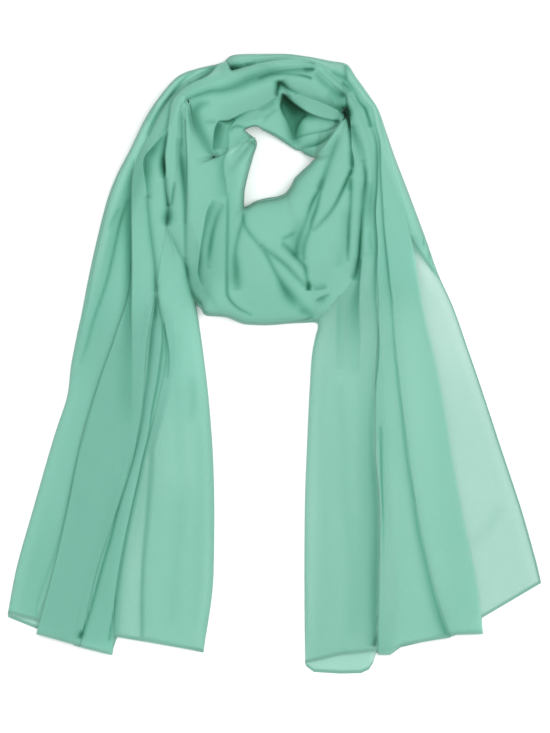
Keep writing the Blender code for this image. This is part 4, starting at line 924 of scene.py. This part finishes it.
def crease_relief(pts):
    """Height in mm and painted shade, light where negative, that the creases add at plan points."""
    height = np.zeros(len(pts))
    light = np.ones(len(pts))
    mm = UNIT / MM
    for side, lifted, dipped, shaded, points in CREASE_LINES:
        line = smooth_line(points)
        widest = max(np.max(width) for _, width in (lifted, dipped, shaded))
        reach = REACH_IN_WIDTHS * widest / mm + REACH_MORE
        low_corner = line.min(axis=0) - reach
        high_corner = line.max(axis=0) + reach
        close = ((pts >= low_corner) & (pts <= high_corner)).all(axis=1)
        if not close.any():
            continue
        dist, share, _ = nearest(line, pts[close])
        d = dist * mm * (side if side else 1.0)
        size = np.linalg.norm(line[-1] - line[0]) * mm
        fade = ENDS_IN_RUN if isinstance(shaded[0], tuple) else ENDS_IN_PLAIN
        fade = min(ENDS_AT_MOST, fade / size)
        ends = smoothstep(0, fade, share) * smoothstep(0, fade, 1 - share)
        dip = bell(dipped, share, d, DIP_POWER)
        power = TONE_POWER[0] + TONE_POWER_PER_MM * (along(shaded[1], share) - TONE_NARROW)
        tone = bell(shaded, share, d, np.clip(power, *TONE_POWER))
        if side:
            over = 0.5 + 0.5 * np.tanh(d / STEP_SOFT)
            lift = bell(lifted, share, d, LIFT_POWER)
            height[close] += RELIEF * ends * (over * lift - (1 - over) * dip)
            tone = tone * (1 - over) * (1 + over)
        else:
            height[close] -= RELIEF * ends * dip
        # The painted shade darkens the colour, and where it is negative it paints light.
        light[close] *= 1 - np.clip(ends * tone, *TONE_LIMITS)
    return height, 1 - light


# Waves of unevenness: tilt in radians, length in plan units, how many times longer they
# are down the cloth, and what their sum is divided by.
WAVES = 9
WAVE_SEED = 7
WAVE_TILT = 0.5
WAVE_LENGTH = (22, 70)
WAVE_STRETCH = (2.5, 5.0)
WAVE_SHARE = 3.0


def undulation(pts):
    """Slow unevenness of loosely laid cloth, in mm, at plan points."""
    rng = np.random.default_rng(WAVE_SEED)
    total = np.zeros(len(pts))
    for _ in range(WAVES):
        angle = rng.uniform(-WAVE_TILT, WAVE_TILT)
        wave = rng.uniform(*WAVE_LENGTH)
        stretch = rng.uniform(*WAVE_STRETCH)
        across = pts[:, 0] * math.cos(angle) + pts[:, 1] * math.sin(angle)
        down = -pts[:, 0] * math.sin(angle) + pts[:, 1] * math.cos(angle)
        phase = rng.uniform(0, 2 * math.pi, 2)
        total += (np.sin(across * 2 * math.pi / wave + phase[0])
                  * np.sin(down * 2 * math.pi / (wave * stretch) + phase[1]))
    return total / WAVE_SHARE


def filled(sections):
    """Sections with each None set midway between its neighbours."""
    rows = []
    for row in sections:
        full = list(row)
        for k, entry in enumerate(full):
            if entry is None:
                full[k] = tuple((np.array(full[k - 1]) + np.array(full[k + 1])) / 2)
        rows.append(full)
    return np.asarray(rows, float)


# Stations in the last plan units before a hem, and samples that find even spacing.
HEM_STATIONS = 10
HEM_REACH = 6.0
RUN_SAMPLES = 1500


def station_rows(rows, stations, hemmed):
    """Row numbers of the stations, evenly spread along the stretch, closer at a hem."""
    run = run_length(rows[:, :, :2].mean(axis=1))
    dense = np.linspace(0, len(rows) - 1, RUN_SAMPLES)
    run_dense = np.interp(dense, np.arange(len(rows)), run)
    want = np.linspace(0, run[-1], stations)
    if hemmed:
        start = run[-1] - HEM_REACH
        close = start + HEM_REACH * np.arange(1, HEM_STATIONS + 1) / HEM_STATIONS
        want = np.concatenate([np.linspace(0, start, stations - HEM_STATIONS), close])
    return np.interp(want, run_dense, dense)


# Plan units within which an edge is drawn to its seam, the shares of the seam's length
# between which that is so, and the stations over which it begins and ends, for the
# edge's height, its flange and its roundness.
SEAM_REACH = 4.5
SEAM_ENDS = (0.0001, 0.9999)
SHIFT_SOFT = 8
ON_SOFT = 4
NEAR_SOFT = 16


def snap(edge, seams):
    """An edge laid onto its seams, its on-seam shares (short and long), where it laps over."""
    moved = edge.copy()
    shift = np.zeros(len(edge))
    found = np.zeros(len(edge))
    lap = np.zeros(len(edge))
    for name, over in seams.items():
        points, heights = SEAM_LINES[name]
        dist, share, foot = nearest(smooth_line(points, per_span=10), moved[:, :2])
        on = (np.abs(dist) < SEAM_REACH) & (share > SEAM_ENDS[0]) & (share < SEAM_ENDS[1])
        moved[on, :2] = foot[on]
        shift[on] = along(heights, share[on]) - edge[on, 2]
        found[on] = 1.0
        lap[on] = float(over)
    moved[:, 2] += softened(shift, SHIFT_SOFT)
    return moved, softened(found, ON_SOFT), softened(found, NEAR_SOFT), lap


# Sections past the tail's top where the pleats start to fan out, over how many sections,
# and with what power.
FAN_START = 2.5
FAN_ROWS = 3.0
FAN_POWER = 0.6


def lay_guides(guides, stations, tail_rows, seams, hemmed):
    """A stretch's guide lines at its stations, with the outer two laid onto their seams."""
    names, *sections = read_rows(guides)
    rows = filled(sections)
    at = station_rows(rows, stations, hemmed)
    lines = [spline(rows[:, k, :], at) for k in range(len(names))]
    far_side = len(names) - 1
    seam_on = {}
    seam_near = {}
    lap_over = {}
    for side, seam in zip((0, far_side), seams):
        lines[side], seam_on[side], seam_near[side], lap_over[side] = snap(lines[side], seam)
    fan = np.clip((at - tail_rows[1] - FAN_START) / FAN_ROWS, 0, 1) ** FAN_POWER
    return SimpleNamespace(
        at=at, lines=lines, index={name: k for k, name in enumerate(names)},
        beside={0: 1, far_side: far_side - 1}, seam_on=seam_on, seam_near=seam_near,
        lap_over=lap_over, none=np.zeros(len(at)), last=len(rows) - 1.0, fan=fan,
        tail=smoothstep(tail_rows[0], tail_rows[1], at), tail_rows=tail_rows)


# Lowest height of the cloth, and where an "over" anchor lies in the tail, in mm.
LOWEST = 0.4
OVER_IN_TAIL = 1.0
# Share of a panel's offset from the top that holds in the neck.
IN_NECK = 0.06
# Sections past the tail's start where an "over" anchor starts to move, and over how many.
OVER_ROWS = (1.77, 1.4)
# Sections before the hem over which an anchor moves to its own point there.
HEM_ROWS = 0.9
# At a seam, mm above it where this sheet laps over its neighbour, mm below where not.
LAPS_ABOVE = 0.12
RUNS_BELOW = 0.1
# Flange at a seam and its far end: mm past the seam and mm below it, where this sheet
# laps over its neighbour and where it runs on under it.
FLANGE = ((0.7, 0.1), (2.6, 0.8))
FLANGE_END = ((-0.8, 2.0), (6.0, 3.0))
# Shortest way from one guide line to the next that a direction is taken from.
SHORTEST = 1e-6


def anchor_path(stretch, first, second, neck_share, tail_share, rule, amount, hem):
    """An anchor's points along the stretch, and how far a seam holds it there."""
    at = stretch.at
    line = stretch.lines[first]
    other = stretch.lines[second]
    on = stretch.seam_on.get(first, stretch.none)
    over = stretch.lap_over.get(first, stretch.none)
    if isinstance(tail_share, tuple):
        tail_share = tail_share[0] + (tail_share[1] - tail_share[0]) * stretch.fan
    share = neck_share + (tail_share - neck_share) * stretch.tail
    base = line * (1 - share)[:, None] + other * share[:, None]
    point = base.copy()
    end_row = stretch.last - HEM_ROWS
    if hem is not None:
        pull = smoothstep(end_row, stretch.last, at) * np.clip(
            (at - end_row) / (stretch.last - end_row), 0, 1)
        point[:, :2] = base[:, :2] + (np.array(hem) - base[-1, :2]) * pull[:, None]
    z = base[:, 2]
    if rule == "top":
        z = z + amount * (IN_NECK + (1 - IN_NECK) * stretch.tail)
    elif rule == "over":
        leave = np.clip((at - stretch.tail_rows[0] - OVER_ROWS[0]) / OVER_ROWS[1], 0, 1)
        share = neck_share + (tail_share - neck_share) * leave
        base = line * (1 - share)[:, None] + other * share[:, None]
        point[:, :2] += (base[:, :2] - point[:, :2]) * (at < end_row)[:, None]
        z = (base[:, 2] + amount) * (1 - leave) + OVER_IN_TAIL * leave
    elif rule == "edge":
        z = z * (amount + (1 - amount) * on) + on * (LAPS_ABOVE * over - RUNS_BELOW * (1 - over))
    else:
        z = np.full(len(z), amount)
    if rule == "tuck" and first in stretch.beside:
        lap, run = FLANGE if first == second else FLANGE_END
        far = lap[0] * over + run[0] * (1 - over)
        drop = lap[1] * over + run[1] * (1 - over)
        out = line[:, :2] - stretch.lines[stretch.beside[first]][:, :2]
        out /= np.maximum(np.linalg.norm(out, axis=1), SHORTEST)[:, None]
        flange = line[:, :2] + out * (far * MM / UNIT)[:, None]
        point[:, :2] += (flange - point[:, :2]) * on[:, None]
        z = z + (np.maximum(line[:, 2] - drop, amount) - z) * on
    point[:, 2] = np.maximum(z, LOWEST)
    return point, on if rule in ("edge", "tuck") else stretch.none


# How far relief and unevenness move the cloth under each height rule.
FREE = {"floor": 0.0, "tuck": 0.0, "edge": 0.4, "top": 1.0, "over": 1.0}
NECK_PLIES = 4.0
# Panels with more columns than this crowd them towards a sheet's ends, by a power, and
# runs on top with more are rounded.
FEW_COLUMNS = 6
END_SPREAD = 1.7
# Power of the rounding from an edge up to the top.
ROLL = 4


def lay_columns(stretch, layout):
    """Points of every column, its share of relief, its plies, and whether it is on top."""
    anchors = []
    for a, b, neck_share, tail_share, rule, amount, count, crown, plies, hem in layout:
        first = stretch.index[a]
        point, held = anchor_path(stretch, first, stretch.index[b], neck_share, tail_share,
                                  rule, amount, hem)
        if not isinstance(plies, tuple):
            plies = (NECK_PLIES, plies, plies)
        anchors.append((point, rule, int(count), crown, (plies + (0.0,))[:4],
                        FREE[rule] + (1 - FREE[rule]) * held,
                        stretch.seam_near.get(first, stretch.none)))
    columns = []
    for k, (start, end) in enumerate(zip(anchors, anchors[1:])):
        a, rule_a, count, crown, plies, free_a, near_a = start
        b, rule_b, _, _, _, free_b, near_b = end
        is_last = k == len(anchors) - 2
        for j in range(count + is_last):
            t = j / count
            if k == 0 and count > FEW_COLUMNS:
                t = t ** END_SPREAD
            elif is_last and count > FEW_COLUMNS:
                t = 1 - (1 - t) ** END_SPREAD
            p = a + (b - a) * t
            rise = t
            if rule_a == "edge" and rule_b in ("top", "over"):
                rise = near_a * t + (1 - near_a) * (1 - (1 - t) ** ROLL) ** (1 / ROLL)
            elif rule_b == "edge" and rule_a in ("top", "over"):
                rise = near_b * t + (1 - near_b) * (1 - (1 - t ** ROLL) ** (1 / ROLL))
            p[:, 2] = a[:, 2] + (b[:, 2] - a[:, 2]) * rise + crown * 4 * t * (1 - t)
            on_top = FREE[rule_a] > 0 and (j == 0 or FREE[rule_b] > 0)
            columns.append((p, free_a + (free_b - free_a) * t, plies, on_top))
    return zip(*columns)


def rounded(height, columns, tail):
    """Heights smoothed across the sheet by a number of columns, in the neck only."""
    reach = min(3 * columns, height.shape[1] - 1)
    kernel = np.exp(-0.5 * (np.arange(-reach, reach + 1) / columns) ** 2)
    kernel /= kernel.sum()
    padded = np.pad(height, ((0, 0), (reach, reach)), mode="reflect", reflect_type="odd")
    smooth = np.apply_along_axis(lambda row: np.convolve(row, kernel, mode="valid"), 1, padded)
    return height * tail[:, None] + smooth * (1 - tail)[:, None]


# Distances from an outer edge in mm: where the selvedge ends, and where the strip of
# painted light begins and ends, which makes up for the shade on the rounded edge.
RIM = (1.2, 2.4)
RIM_AT_NECK = 0.6
PAINTED_LIGHT_SPAN = (1.2, 2.6, 6.0, 12.0)
PAINTED_LIGHT_IN_TAIL = 0.25
# A piled side: mm from the edge, mm of height beside it, and share of that height.
WALL_REACH = (6.0, 3.0)
WALL_TOP = (7.0, 14.0)
WALL_BELOW = (0.97, 0.8)


def edge_looks(stretch, grid):
    """How far each point is selvedge, strip of painted light or piled side, and how high it is there.
    """
    shape = grid.shape[:2]
    rim, painted_light, wall, rise = (np.zeros(shape) for _ in range(4))
    tail = stretch.tail[:, None]
    for side, beside in stretch.beside.items():
        gap = np.linalg.norm(grid[:, :, :2] - stretch.lines[side][:, None, :2], axis=2) * UNIT / MM
        loose = (1 - stretch.seam_on[side])[:, None]
        fade = RIM_AT_NECK + (1 - RIM_AT_NECK) * tail
        rim = np.maximum(rim, smoothstep(RIM[1], RIM[0], gap) * loose * fade)
        # Painted light in a strip along a loose edge, weaker in the tail.
        fade = 1 - (1 - PAINTED_LIGHT_IN_TAIL) * tail
        painted_light = np.maximum(painted_light, smoothstep(PAINTED_LIGHT_SPAN[0], PAINTED_LIGHT_SPAN[1], gap)
                          * smoothstep(PAINTED_LIGHT_SPAN[3], PAINTED_LIGHT_SPAN[2], gap) * loose * fade)
        top = stretch.lines[beside][:, 2][:, None]
        part = np.clip(grid[:, :, 2] / top, 0, 1)
        rise = np.where(gap < WALL_REACH[0] * 2, part, rise)
        wall = np.maximum(wall, smoothstep(*WALL_REACH, gap) * loose
                          * smoothstep(*WALL_TOP, top) * smoothstep(*WALL_BELOW, part))
    return rim, painted_light, wall, rise


# Width of the rolled hem in metres, and the distances between which it ends.
HEM_WIDTH = 0.0026
HEM_EDGE = (HEM_WIDTH * 1.25, HEM_WIDTH * 0.8)


def to_world(grid):
    """Plan units across and down and mm of height, as metres in the frame."""
    return np.stack([(grid[:, :, 0] - PLAN_CENTRE[0]) * UNIT,
                     (PLAN_CENTRE[1] - grid[:, :, 1]) * UNIT, grid[:, :, 2] * MM], axis=2)


def walked(world, axis, from_end=False):
    """Distance of each point along its column (axis 0) or row (axis 1) of the grid."""
    points = np.flip(world, axis) if from_end else world
    step = np.linalg.norm(np.diff(points, axis=axis), axis=2)
    total = np.pad(np.cumsum(step, axis=axis), [(1, 0), (0, 0)] if axis == 0 else [(0, 0), (1, 0)])
    return np.flip(total, axis) if from_end else total


def hem_distance(world, selvedges):
    """Distance of each point to the last station or a selvedge, whichever is nearer."""
    nearest_side = walked(world, 1)
    if selvedges == 2:
        nearest_side = np.minimum(nearest_side, walked(world, 1, from_end=True))
    return np.minimum(walked(world, 0, from_end=True), nearest_side)


# A stretch without a tail: its tail rows lie past its last section.
NO_TAIL = (90, 99)
# Unevenness in the neck in mm, and the sections over which a tail reaches its thin plies.
NECK_WAVE = 0.3
THIN_ROWS = 2.5
# Relief is full above this height in mm, and at least this share of it below.
SOFT_HEIGHT = 8.0
SOFT_LEAST = 0.25
# A crease's painted shade comes in faster than its relief by this factor.
DARK_GAIN = 2.5


def build_sheet(guides, layout, stations, tail_rows, seams, wave_size, softness,
                hemmed=False, selvedges=2, painted_light_by=0.0):
    """Grid of points in metres and its cloth attributes, stations down, columns across."""
    stretch = lay_guides(guides, stations, tail_rows, seams, hemmed)
    tail = stretch.tail
    points, weights, plies, on_top = lay_columns(stretch, read_rows(layout))
    grid = np.stack(points, axis=1)
    start = 0
    for lifted, group in itertools.groupby(on_top):
        stop = start + len(list(group))
        if lifted and stop - start > FEW_COLUMNS:
            grid[:, start:stop, 2] = rounded(grid[:, start:stop, 2], softness, tail)
        start = stop
    flat = grid.reshape(-1, 3)
    relief, dark = crease_relief(flat[:, :2])
    amount = np.repeat(NECK_WAVE + (wave_size - NECK_WAVE) * tail, grid.shape[1])
    free = np.stack(weights, axis=1).reshape(-1)
    soft = np.clip(flat[:, 2] / SOFT_HEIGHT, SOFT_LEAST, 1.0)
    flat[:, 2] += free * (relief * soft + undulation(flat[:, :2]) * amount)
    flat[:, 2] = np.maximum(flat[:, 2], LOWEST)
    low = smoothstep(tail_rows[1], tail_rows[1] + THIN_ROWS, stretch.at)
    at_neck, in_tail, at_hem, alone = np.array(plies).T
    tail_layers = np.outer(1 - low, in_tail) + np.outer(low, at_hem)
    rim, painted_light, wall, rise = edge_looks(stretch, grid)
    world = to_world(grid)
    hem = smoothstep(*HEM_EDGE, hem_distance(world, selvedges))
    return world, {
        # Painted shade of the creases, less the painted light along the edges.
        "dark": (dark * np.clip(free * DARK_GAIN, 0, 1)).reshape(painted_light.shape) - painted_light_by * painted_light,
        "layers": np.outer(1 - tail, at_neck) + tail_layers * tail[:, None],
        "hem": hem * tail[:, None], "rim": rim, "alone": np.outer(tail, alone),
        "wall": wall, "rise": rise, "across": walked(world, 1), "down": walked(world, 0)}


def add_mesh(name, world, attributes, material):
    rows, columns = world.shape[:2]
    index = np.arange(rows * columns).reshape(rows, columns)
    quads = np.stack([index[:-1, :-1], index[1:, :-1], index[1:, 1:], index[:-1, 1:]], axis=-1)
    mesh = bpy.data.meshes.new(name)
    mesh.from_pydata(world.reshape(-1, 3).tolist(), [], quads.reshape(-1, 4).tolist())
    for key, values in attributes.items():
        layer = mesh.attributes.new(key, "FLOAT", "POINT")
        layer.data.foreach_set("value", values.reshape(-1).astype(np.float32))
    mesh.shade_smooth()
    mesh.materials.append(material)
    mesh.update()
    piece = bpy.data.objects.new(name, mesh)
    bpy.context.scene.collection.objects.link(piece)
    return piece


# Weave with a thread every 0.65 mm, and the scale and detail of two noises.
THREAD_WAVES = 2 * math.pi / 0.00065
WEAVE_SIZE = 0.25
GRAIN = (1500.0, 2.0)
MOTTLE = (26.0, 3.0)
# One ply lets this share of the light through.  Folds with painted shade, hems and
# selvedges count as more plies, and the noises and the weave make the cover uneven.
THROUGH = 0.41
PLIES_IN_DARK = 1.6
PLIES_IN_HEM = 1.6
PLIES_IN_RIM = 0.8
UNEVEN_COVER = 0.05
GRAINY_COVER = 0.10
WOVEN_COVER = 0.10
# Colours: many plies, few plies (a little lighter, painted light that makes up for the shade
# on the floor under thin cloth; the change ends at THICK_PLIES), one sheer ply alone, the
# hem and the selvedge with how strongly they tint, and the light that comes through.
CLOTH = (0.222, 0.525, 0.41, 1.0)
CLOTH_THIN_PAINTED_LIGHTER = (0.235, 0.556, 0.443, 1.0)
THICK_PLIES = 4.0
THIN_PER_PLY = 0.5
SHEER = (0.262, 0.512, 0.425, 1.0)
HEM = (0.165, 0.345, 0.28, 1.0)
HEM_TINT = 0.88
RIM_COLOUR = (0.26, 0.465, 0.39, 1.0)
RIM_TINT = 0.7
CLEAR = (1.0, 0.98, 0.985, 1.0)
# Painted shade of the deepest folds, and its power on red, green and blue.
DARKEST_PAINTED_SHADE = 0.93
DARK_POWERS = (1.75, 1.0, 1.2)
# Layers up a piled side: their phase at the top, how they wander, and the painted shade between them.
LAYER_PHASE = 3.2 * math.pi
LAYER_WANDER = 2.6
LAYER_POWER = 0.45
GULLY_PAINTED_SHADE = 0.55
# Bumps, each with its strength and its distance in metres.
GRAIN_BUMP = (0.25, 0.0003)
LAYER_BUMP = (0.6, 0.0012)
TRANSLUCENT = 0.3
# Sockets of a Mix node in its RGBA form: factor, both colours, and the result.
MIX_INPUTS = (0, 6, 7)
MIX_RESULT = 2
SURFACE = {"Roughness": 0.75, "Specular IOR Level": 0.2, "Sheen Weight": 0.1,
           "Sheen Roughness": 0.5}


def chiffon(name):
    """Sheer cloth: coverage and colour follow how many layers lie together and the painted shade."""
    material = bpy.data.materials.new(name)
    material.use_nodes = True
    material.diffuse_color = CLOTH
    nodes = material.node_tree.nodes
    links = material.node_tree.links
    nodes.clear()

    def node(kind, inputs, **settings):
        """A new node, its inputs set to values or linked to other nodes' outputs."""
        made = nodes.new(kind)
        for key, value in settings.items():
            setattr(made, key, value)
        for key, value in inputs.items():
            if isinstance(value, bpy.types.NodeSocket):
                links.new(value, made.inputs[key])
            else:
                made.inputs[key].default_value = value
        return made

    def attribute(key):
        return node("ShaderNodeAttribute", {}, attribute_name=key).outputs["Fac"]

    def work_out(operation, a, b=0.0):
        return node("ShaderNodeMath", {0: a, 1: b}, operation=operation).outputs[0]

    def plus(a, b):
        return work_out("ADD", a, b)

    def minus(a, b):
        return work_out("SUBTRACT", a, b)

    def times(a, b):
        return work_out("MULTIPLY", a, b)

    def mixed(factor, a, b, blend="MIX"):
        made = node("ShaderNodeMix", dict(zip(MIX_INPUTS, (factor, a, b))), data_type="RGBA",
                    blend_type=blend)
        return made.outputs[MIX_RESULT]

    def noise(scale, detail):
        inputs = {"Vector": place, "Scale": scale, "Detail": detail}
        return node("ShaderNodeTexNoise", inputs).outputs["Fac"]

    def bump(size, height, normal=None):
        inputs = {"Strength": size[0], "Distance": size[1], "Height": height}
        if normal:
            inputs["Normal"] = normal
        return node("ShaderNodeBump", inputs).outputs["Normal"]

    def shaders(factor, a, b):
        return node("ShaderNodeMixShader", {0: factor, 1: a, 2: b}).outputs[0]

    place = node("ShaderNodeTexCoord", {}).outputs["Object"]
    layers, hem, rim, wall = [attribute(key) for key in ("layers", "hem", "rim", "wall")]
    threads = [work_out("SINE", times(attribute(key), THREAD_WAVES)) for key in ("across", "down")]
    weave = times(plus(*threads), WEAVE_SIZE)
    grain = noise(*GRAIN)
    uneven = minus(noise(*MOTTLE), 0.5)

    # Rounded edges of the layers piled in a side, with painted shade in the gullies.
    phase = plus(times(attribute("rise"), LAYER_PHASE), times(uneven, LAYER_WANDER))
    folded = work_out("ABSOLUTE", work_out("SINE", phase))
    gully = times(minus(1.0, work_out("POWER", folded, LAYER_POWER)), wall)
    dark = plus(attribute("dark"), times(gully, GULLY_PAINTED_SHADE))

    plies = plus(layers, times(dark, PLIES_IN_DARK))
    plies = plus(plies, times(hem, PLIES_IN_HEM))
    plies = plus(plies, times(rim, PLIES_IN_RIM))
    cover = minus(1.0, work_out("POWER", THROUGH, plies))
    cover = plus(cover, times(uneven, UNEVEN_COVER))
    cover = plus(cover, times(minus(grain, 0.5), GRAINY_COVER))
    cover = plus(cover, times(weave, WOVEN_COVER))
    cover = node("ShaderNodeClamp", {"Value": cover}).outputs[0]

    # Fewer plies get a lighter colour, painted light for the shaded floor seen through them.
    thin = times(minus(THICK_PLIES, layers), THIN_PER_PLY)
    thin = node("ShaderNodeClamp", {"Value": thin}).outputs[0]
    tint = mixed(thin, CLOTH, CLOTH_THIN_PAINTED_LIGHTER)
    tint = mixed(attribute("alone"), tint, SHEER)
    # Painted shade: the colour darkens with the creases' and gullies' darkness.
    left_over = minus(1.0, times(dark, DARKEST_PAINTED_SHADE))
    shade = {k: work_out("POWER", left_over, power) for k, power in enumerate(DARK_POWERS)}
    shade = node("ShaderNodeCombineColor", shade).outputs[0]
    tint = mixed(1.0, tint, shade, "MULTIPLY")
    tint = mixed(times(hem, HEM_TINT), tint, HEM)
    tint = mixed(times(rim, RIM_TINT), tint, RIM_COLOUR)

    normal = bump(LAYER_BUMP, minus(1.0, gully), bump(GRAIN_BUMP, plus(grain, weave)))
    surface = {"Base Color": tint, "Normal": normal, **SURFACE}
    surface = node("ShaderNodeBsdfPrincipled", surface).outputs[0]
    glow = node("ShaderNodeBsdfTranslucent", {"Color": tint}).outputs[0]
    air = node("ShaderNodeBsdfTransparent", {"Color": CLEAR}).outputs[0]
    cloth = shaders(cover, air, shaders(TRANSLUCENT, surface, glow))
    node("ShaderNodeOutputMaterial", {"Surface": cloth})
    return material


FLOOR_HALF = 5.0
FLOOR_LEVEL = -0.0004
FLOOR_LOOK = {"Base Color": (0.95, 0.95, 0.95, 1), "Roughness": 0.9, "Specular IOR Level": 0.1}
SKY_STRENGTH = 0.85
LIGHT_SIZE = 1.4
CAMERA_HEIGHT = 14.0
SENSOR = 36.0


def add_object(name, data, location=(0, 0, 0)):
    made = bpy.data.objects.new(name, data)
    made.location = location
    bpy.context.scene.collection.objects.link(made)
    return made


def add_light(name, location, energy):
    """A round soft light that shines at the middle of the scarf."""
    data = bpy.data.lights.new(name, "AREA")
    data.energy = energy
    data.shape = "DISK"
    data.size = LIGHT_SIZE
    light = add_object(name, data, location)
    light.rotation_mode = "QUATERNION"
    light.rotation_quaternion = (-Vector(location)).to_track_quat("-Z", "Y")


def add_stage():
    mesh = bpy.data.meshes.new("floor")
    corners = [(-1, -1), (1, -1), (1, 1), (-1, 1)]
    mesh.from_pydata([(x * FLOOR_HALF, y * FLOOR_HALF, FLOOR_LEVEL) for x, y in corners],
                     [], [(0, 1, 2, 3)])
    material = bpy.data.materials.new("floor_white")
    material.use_nodes = True
    for key, value in FLOOR_LOOK.items():
        material.node_tree.nodes["Principled BSDF"].inputs[key].default_value = value
    mesh.materials.append(material)
    floor = add_object("floor", mesh)
    world = bpy.data.worlds.new("studio")
    bpy.context.scene.world = world
    world.use_nodes = True
    background = world.node_tree.nodes["Background"]
    background.inputs["Color"].default_value = (1, 1, 1, 1)
    background.inputs["Strength"].default_value = SKY_STRENGTH
    add_light("key_softbox", (0.95, 0.45, 2.0), 30.0)
    add_light("fill_softbox", (-1.0, -0.3, 2.0), 14.0)


def add_camera():
    data = bpy.data.cameras.new("camera")
    data.sensor_width = SENSOR
    data.lens = SENSOR * CAMERA_HEIGHT / (PLAN_SIZE[1] * UNIT)
    data.clip_start = 0.1
    data.clip_end = 50.0
    across = (PLAN_SIZE[0] / 2 - PLAN_CENTRE[0]) * UNIT
    up = (PLAN_CENTRE[1] - PLAN_SIZE[1] / 2) * UNIT
    bpy.context.scene.camera = add_object("camera", data, (across, up, CAMERA_HEIGHT))


def declare(piece, nodes):
    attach(piece, "root")
    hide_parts(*nodes)


# Seams of each sheet's first and last guide line, True where it laps over its neighbour.
sheets = {
    "left_sheet": build_sheet(
        LEFT_GUIDES, LEFT_LAYOUT, stations=430, tail_rows=(15.5, 19.5), wave_size=0.45,
        seams=({"band": True, "band_end": True},
               {"crest": True, "crest_end": True, "left": False}),
        softness=2, hemmed=True, painted_light_by=0.17),
    "right_sheet": build_sheet(
        RIGHT_GUIDES, RIGHT_LAYOUT, stations=430, tail_rows=(13.0, 17.5), wave_size=0.45,
        seams=({"band": False, "cross": True, "right": False}, {}),
        softness=2, hemmed=True, selvedges=1, painted_light_by=0.14),
    "loop_sheet": build_sheet(
        LOOP_GUIDES, LOOP_LAYOUT, stations=440, tail_rows=NO_TAIL, wave_size=0.3,
        seams=({"left": True, "right": True}, {"bulge": True, "collar": True, "hollow": True}),
        softness=3),
    "arch_sheet": build_sheet(
        ARCH_GUIDES, ARCH_LAYOUT, stations=220, tail_rows=NO_TAIL, wave_size=0.3,
        seams=({"crest": False, "crest_end": False}, {"back": True}), softness=3),
    "back_sheet": build_sheet(
        BACK_GUIDES, BACK_LAYOUT, stations=200, tail_rows=NO_TAIL, wave_size=0.3,
        seams=({"back": False}, {"collar": False, "hollow": False}), softness=3),
}
cloth = chiffon("sea_green_chiffon")
pieces = {name: add_mesh(name, *sheet, cloth) for name, sheet in sheets.items()}

declare(pieces["left_sheet"], ["left_arch_and_tail"])
declare(pieces["right_sheet"], ["right_band_and_tail"])
declare(pieces["loop_sheet"], ["front_loop"])
declare(pieces["arch_sheet"], ["top_arch_panel"])
declare(pieces["back_sheet"], ["back_of_neck"])

add_stage()
add_camera()
bpy.context.scene.view_settings.view_transform = "Standard"
